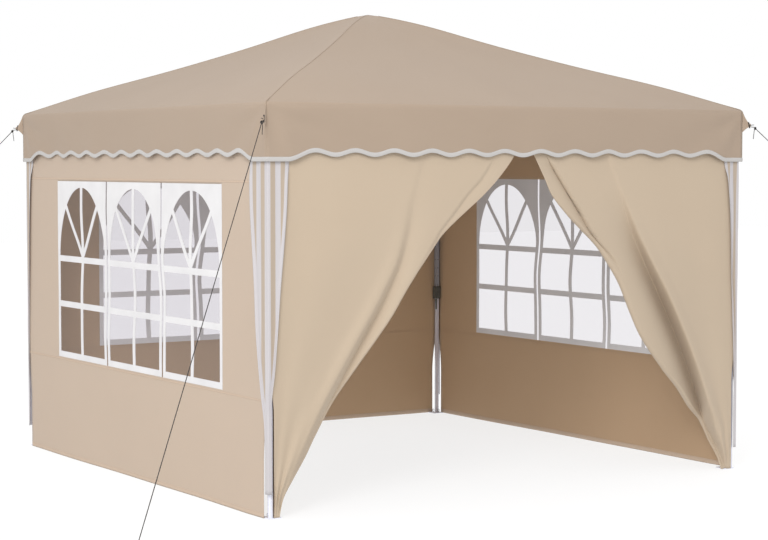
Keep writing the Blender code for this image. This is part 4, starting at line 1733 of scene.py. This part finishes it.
# %% Make the ropes and knots
for corner, turns in CORNERS:
    bm = bmesh.new()
    add_tube(bm, rope_path(turns), ROPE_RADIUS, around=12, lobes=ROPE_LOBES, twist=ROPE_TWIST)
    rope = make_piece(
        "rope_" + corner, bm, [cord_black], "standing", "rope", ["guy_rope_" + corner], closed=True
    )
    slacken(rope, KNOT_Z)

    bm = bmesh.new()
    for spin in range(KNOT_TURNS):
        add_tube(bm, knot_ring(turns, spin), ROPE_RADIUS, up=on_diagonal(turns, 1, 0.3), around=8)
    add_tube(bm, knot_tail(turns), THIN_ROPE, up=on_diagonal(turns, 1, 0.2), around=8)
    add_tube(bm, knot_loop(turns), THIN_ROPE, up=(0, 0.1, 1), around=8)
    add_tube(bm, sewn_bar(turns), BAR_RADIUS, up=on_diagonal(turns, 1, 0), around=10)
    knot = make_piece("knot_" + corner, bm, [cord_black], "head", "rope", closed=True)
report(rope)
report(knot)

# %% [markdown]
# ## Zinc-plated steel
# The legs and trusses are thin square steel tube with a zinc coat: grey-blue,
# dull where it has been handled, with fine marks along its length. Noise
# stretched along Z gives the drawn marks, and spots of a second noise change the
# roughness, so the tubes catch the light unevenly.

# %% Steel and plastic materials
DRAWN_STRETCH = (420.0, 420.0, 2.0)
DRAWN_DEPTH = 0.00004
SPOT_SCALE = 16.0
SPOT_SPREAD = (0.35, 0.70)
WORN = (-0.04, 0.08)
GRAIN_SCALE = 1400.0
GRAIN_DEPTH = 0.0001
DUST_SCALE = 35.0
DUST_SPREAD = (0.45, 0.75)


def make_steel(name, bright, dull, rough, metallic):
    """Drawn tube with a zinc coat that is brighter and rougher in spots."""
    material = plain_material(name, bright, rough, metallic)
    place = object_place(material)
    stretch = add_node(material, "ShaderNodeMapping")
    stretch.inputs["Scale"].default_value = DRAWN_STRETCH
    link(material, place, stretch.inputs["Vector"])
    drawn = add_noise(material, stretch.outputs["Vector"], 1.0, 4.0)
    spots = add_noise(material, place, SPOT_SCALE)
    patch = ramp(material, spots, *SPOT_SPREAD)
    worn = add_node(material, "ShaderNodeMapRange")
    worn.inputs["To Min"].default_value = rough + WORN[0]
    worn.inputs["To Max"].default_value = rough + WORN[1]
    link(material, spots, worn.inputs["Value"])
    link(material, worn.outputs["Result"], shader_of(material).inputs["Roughness"])
    colour = mix_colours(material, patch, dull, bright)
    set_finish(material, colour, add_bump(material, drawn, DRAWN_DEPTH, 0.3))
    return material


def make_plastic(name, colour, lighter):
    """Moulded plastic with a fine grain and a dusty, slightly lighter bloom."""
    material = plain_material(name, colour, 0.5)
    place = object_place(material)
    grain = add_noise(material, place, GRAIN_SCALE)
    bloom = ramp(material, add_noise(material, place, DUST_SCALE, 4.0), *DUST_SPREAD)
    dusty = mix_colours(material, bloom, colour, lighter)
    set_finish(material, dusty, add_bump(material, grain, GRAIN_DEPTH, 0.5))
    return material


zinc = make_steel("zinc", (0.39, 0.405, 0.455), (0.37, 0.385, 0.435), 0.34, 0.30)
bright_zinc = make_steel("bright zinc", (0.78, 0.79, 0.88), (0.75, 0.76, 0.86), 0.22, 0.15)
plastic = make_plastic("dark plastic", (0.085, 0.087, 0.080), (0.125, 0.125, 0.115))
print("steel and plastic ready")

# %% [markdown]
# ## Legs, trusses and mast
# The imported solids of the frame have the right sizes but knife-sharp edges, and a
# sharp edge never catches the light. Each is copied, its split corners are
# merged, flat neighbours are joined and a Bevel modifier rounds it. Fittings are
# moulded plastic and the tubes are steel, and a fitting is known by its height.

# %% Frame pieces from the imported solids
EDGE_ROUND = 0.0011
FLAT_WITHIN = math.radians(1)
ZONE_MARGIN = 0.001
FITTING_ZONES = ((0.779, 0.863), (1.755, 1.797), (1.909, 1.951))


def dress_node(name, body, fittings, metal=zinc):
    """A bevelled copy of a CAD node, with plastic on the faces of its fittings."""
    node = frame["nodes"][name]
    bm = bmesh.new()
    bm.from_mesh(node.data)
    bmesh.ops.transform(bm, matrix=node.matrix_world, verts=bm.verts)
    bmesh.ops.remove_doubles(bm, verts=bm.verts, dist=1e-5)
    bmesh.ops.dissolve_limit(
        bm, angle_limit=FLAT_WITHIN, verts=bm.verts, edges=bm.edges, use_dissolve_boundaries=False
    )
    bmesh.ops.recalc_face_normals(bm, faces=bm.faces)
    for face in bm.faces:
        heights = [vert.co.z for vert in face.verts]
        for low, high in FITTING_ZONES:
            inside = min(heights) > low - ZONE_MARGIN and max(heights) < high + ZONE_MARGIN
            if fittings and inside:
                face.material_index = 1
    piece = make_piece("steel_" + name, bm, [metal, plastic], body, "zinc", [name])
    piece.data.set_sharp_from_angle(angle=math.radians(30))
    bevel = piece.modifiers.new("rounded", "BEVEL")
    bevel.width = EDGE_ROUND
    bevel.segments = 2
    bevel.limit_method = "ANGLE"
    bevel.angle_limit = math.radians(40)
    return piece


for corner, turns in CORNERS:
    dress_node("outer_leg_" + corner, "head", True)
    dress_node("inner_leg_" + corner, "standing", False, bright_zinc)
    dress_node("peg_" + corner, "standing", False, bright_zinc)
for side, turns in SIDES:
    dress_node("side_truss_" + side, "head", False)
    dress_node("roof_truss_" + side, "head", False)
mast = dress_node("centre_mast", "head", True)
report(mast)

# %% [markdown]
# ## Small fittings
# The upper tube carries a lock that clicks into holes of the lower one: a lever
# under the plastic collar, and three round holes above it. The scissor bars turn
# on rivets with domed heads, and two rings at each foot take the wall's tapes.
# Each is a primitive that is pressed or bevelled into shape, drawn once at the
# +X +Y corner or on the front side, and turned to its places.

# %% Levers and holes
TUBE_HALF = 0.0125
OUTER_FACE = LEG_CENTRE + TUBE_HALF
INNER_FACE = LEG_CENTRE - TUBE_HALF
LEVER_SIZE = (0.013, 0.013, 0.070)
LEVER_TAPER = 0.7
LEVER_ROUND = 0.002
LEVER_TILT = math.radians(-4)
LEVER_OUT = 0.004
LEVER_Z = 0.742
HOLE_LEVELS = (0.933, 0.987, 1.045)
HOLE_RADIUS = 0.0034
HOLE_DEPTH = 0.0008


def put(bm, verts, matrix, turns):
    """Moves vertices by matrix, and then turns them to their corner or side."""
    bmesh.ops.transform(bm, matrix=Matrix.Rotation(turns * QUARTER, 4, "Z") @ matrix, verts=verts)


def add_lever(bm, turns):
    """The lock's lever, narrower below, on the inner edge of the tube."""
    lever = bmesh.ops.create_cube(bm, size=1)["verts"]
    bmesh.ops.transform(bm, matrix=Matrix.Diagonal((*LEVER_SIZE, 1)), verts=lever)
    low = [vert for vert in lever if vert.co.z < 0]
    bmesh.ops.scale(bm, verts=low, vec=(LEVER_TAPER, LEVER_TAPER, 1))
    bmesh.ops.bevel(
        bm, geom=list(bm.edges), offset=LEVER_ROUND, segments=2, profile=0.5, affect="EDGES", material=-1
    )
    slant = Matrix.Rotation(QUARTER / 2, 4, "Z") @ Matrix.Rotation(LEVER_TILT, 4, "Y")
    spot = INNER_FACE - LEVER_OUT
    put(bm, bm.verts, Matrix.Translation((spot, spot, LEVER_Z)) @ slant, turns)


def add_hole(bm, place, axis, turns):
    """A dark disc that lies flat on the tube, turned about the named axis."""
    disc = bmesh.ops.create_cone(
        bm, cap_ends=True, segments=16, radius1=HOLE_RADIUS, radius2=HOLE_RADIUS, depth=HOLE_DEPTH
    )["verts"]
    put(bm, disc, Matrix.Translation(place) @ Matrix.Rotation(QUARTER, 4, axis), turns)


print("holes at", HOLE_LEVELS)

# %% Make the leg fittings and foot rings
FOOT_RINGS = ((-0.020, 0.006), (0.006, -0.020))
FOOT_RING_Z = 0.0165
FOOT_RING_RADIUS = 0.009
FOOT_RING_WIRE = 0.0016


def foot_ring(turns, beside_x, beside_y):
    """A ring that stands slantwise on the foot plate."""
    middle = Vector((INNER_FACE + beside_x, INNER_FACE + beside_y, FOOT_RING_Z))
    ring = []
    for step in range(RING_STEPS + 1):
        angle = math.tau * step / RING_STEPS
        spot = Vector((math.cos(angle), 0.5 * math.cos(angle), math.sin(angle)))
        ring.append(turned(middle + FOOT_RING_RADIUS * spot, turns))
    return ring


for corner, turns in CORNERS:
    bm = bmesh.new()
    add_lever(bm, turns)
    for level in HOLE_LEVELS:
        add_hole(bm, (INNER_FACE, LEG_CENTRE, level), "Y", turns)
        add_hole(bm, (LEG_CENTRE, INNER_FACE, level), "X", turns)
    fitting = make_piece("leg_fitting_" + corner, bm, [plastic], "head", "zinc", closed=True)
    fitting.data.set_sharp_from_angle(angle=math.radians(35))

    bm = bmesh.new()
    for beside in FOOT_RINGS:
        add_tube(
            bm, foot_ring(turns, *beside), FOOT_RING_WIRE, up=turned((0.5, -1, 0), turns), around=8
        )
    rings = make_piece("foot_rings_" + corner, bm, [zinc], "standing", "zinc", closed=True)
report(fitting)
report(rings)

# %% Make the rivets
TRUSS_TOP_Z = 1.930
TRUSS_LOW_Z = 1.776
BAR_END = 1.4278
RIVET_RADIUS = 0.0062
RIVET_IN = 0.012
RIVET_FLAT = 0.35
SIDE_RIVET_DEPTH = -OUTER_FACE + 0.0205
MIDDLE_RIVET_DEPTH = -OUTER_FACE + 0.0262

for side, turns in SIDES:
    bm = bmesh.new()
    middle_z = (TRUSS_TOP_Z + TRUSS_LOW_Z) / 2
    spots = [(sign * BAR_END / 2, middle_z) for sign in (-1, 1)]
    for level in (TRUSS_TOP_Z, TRUSS_LOW_Z):
        spots += [(-BAR_END + RIVET_IN, level), (0.0, level), (BAR_END - RIVET_IN, level)]
    for x, z in spots:
        dome = bmesh.ops.create_uvsphere(bm, u_segments=16, v_segments=8, radius=RIVET_RADIUS)["verts"]
        flatten = Matrix.Diagonal((1, RIVET_FLAT, 1, 1))
        depth = SIDE_RIVET_DEPTH if x else MIDDLE_RIVET_DEPTH
        put(bm, dome, Matrix.Translation((x, depth, z)) @ flatten, turns)
    rivets = make_piece("truss_rivets_" + side, bm, [zinc], "head", "zinc")
report(rivets)

# %% [markdown]
# ## Zips of the door
# The two halves of the front wall close with a zip. It is open here, so each half
# carries its own row of teeth along the edge that is turned back inside. A thin
# tube on that edge stands for the coil, and its teeth are bumps along its length,
# darker between the teeth and lighter on their tops as painted shade and painted light.

# %% Zip coils
COIL_RADIUS = 0.0026
COIL_OUT = 0.0016
COIL_STEPS = 151
TOOTH = 0.004
TOOTH_DEPTH = 0.0008

coil = plain_material("zip coil", (0.30, 0.25, 0.20), 0.4)
height = split_place(coil, object_place(coil))["Z"]
coil_run = add_math(coil, "MULTIPLY", height, math.tau / TOOTH)
teeth = ramp(coil, add_math(coil, "SINE", coil_run, 0.0), -0.6, 0.6)
# Dark between the teeth and light on their tops, by the teeth's height: painted shade and painted light.
coil_painted_light_and_shade = mix_colours(coil, teeth, (0.16, 0.13, 0.10), (0.46, 0.40, 0.33))
set_finish(coil, coil_painted_light_and_shade, add_bump(coil, teeth, TOOTH_DEPTH, 1.0))

for flap in FLAPS:
    bm = bmesh.new()
    path = []
    for step in range(1, COIL_STEPS - 1):
        z = WALL_LOW_Z + WALL_HEIGHT * step / COIL_STEPS
        path.append(flap_section(flap, z, flap_columns) + Vector((0, COIL_OUT, 0)))
    add_tube(bm, path, COIL_RADIUS, up=(0, 1, 0.2), around=8)
    zip_coil = make_piece(
        "zip_" + flap["name"], bm, [coil], "standing", "wall_cloth", closed=True
    )
    slacken(zip_coil, WALL_TOP_Z)
report(zip_coil)

# %% [markdown]
# ## What is cloth, and what is sewn to it
# A cover or a wall goes with its binding, seams, hem or zip. Each is declared with
# the size that it was cut to, so it can be told from a stiff plate later on.

def made(*names):
    return [bpy.data.objects[name] for name in names]


COVER_CUT = (3.70, 3.70)
COVER_AREA = 12.9
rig.sheet(
    cover, flat=COVER_CUT, held="stretched", area=COVER_AREA, rests_on=["centre_mast"],
    with_pieces=[binding, piping],
)
for side, turns in WALLS:
    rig.sheet(
        *made("wall_cloth_" + side), flat=(2 * WALL_HALF, WALL_HEIGHT), held="hung", area=wall_area,
        rests_on=["side_truss_" + side], with_pieces=made("wall_seams_" + side, "wall_hem_" + side),
    )
for flap in FLAPS:
    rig.sheet(
        *made("door_cloth_" + flap["name"]), flat=(WALL_HALF, WALL_HEIGHT), held="gathered",
        rests_on=["side_truss_front"], with_pieces=made("zip_" + flap["name"]),
    )
print("cover, walls and flaps are declared")

# %% Write the sizes and finish
with open("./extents.json", "w") as size_file:
    boxes = {"cad": [list(corner) for corner in cad_box], "visual": [list(corner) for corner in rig.bounds()]}
    json.dump(boxes, size_file)
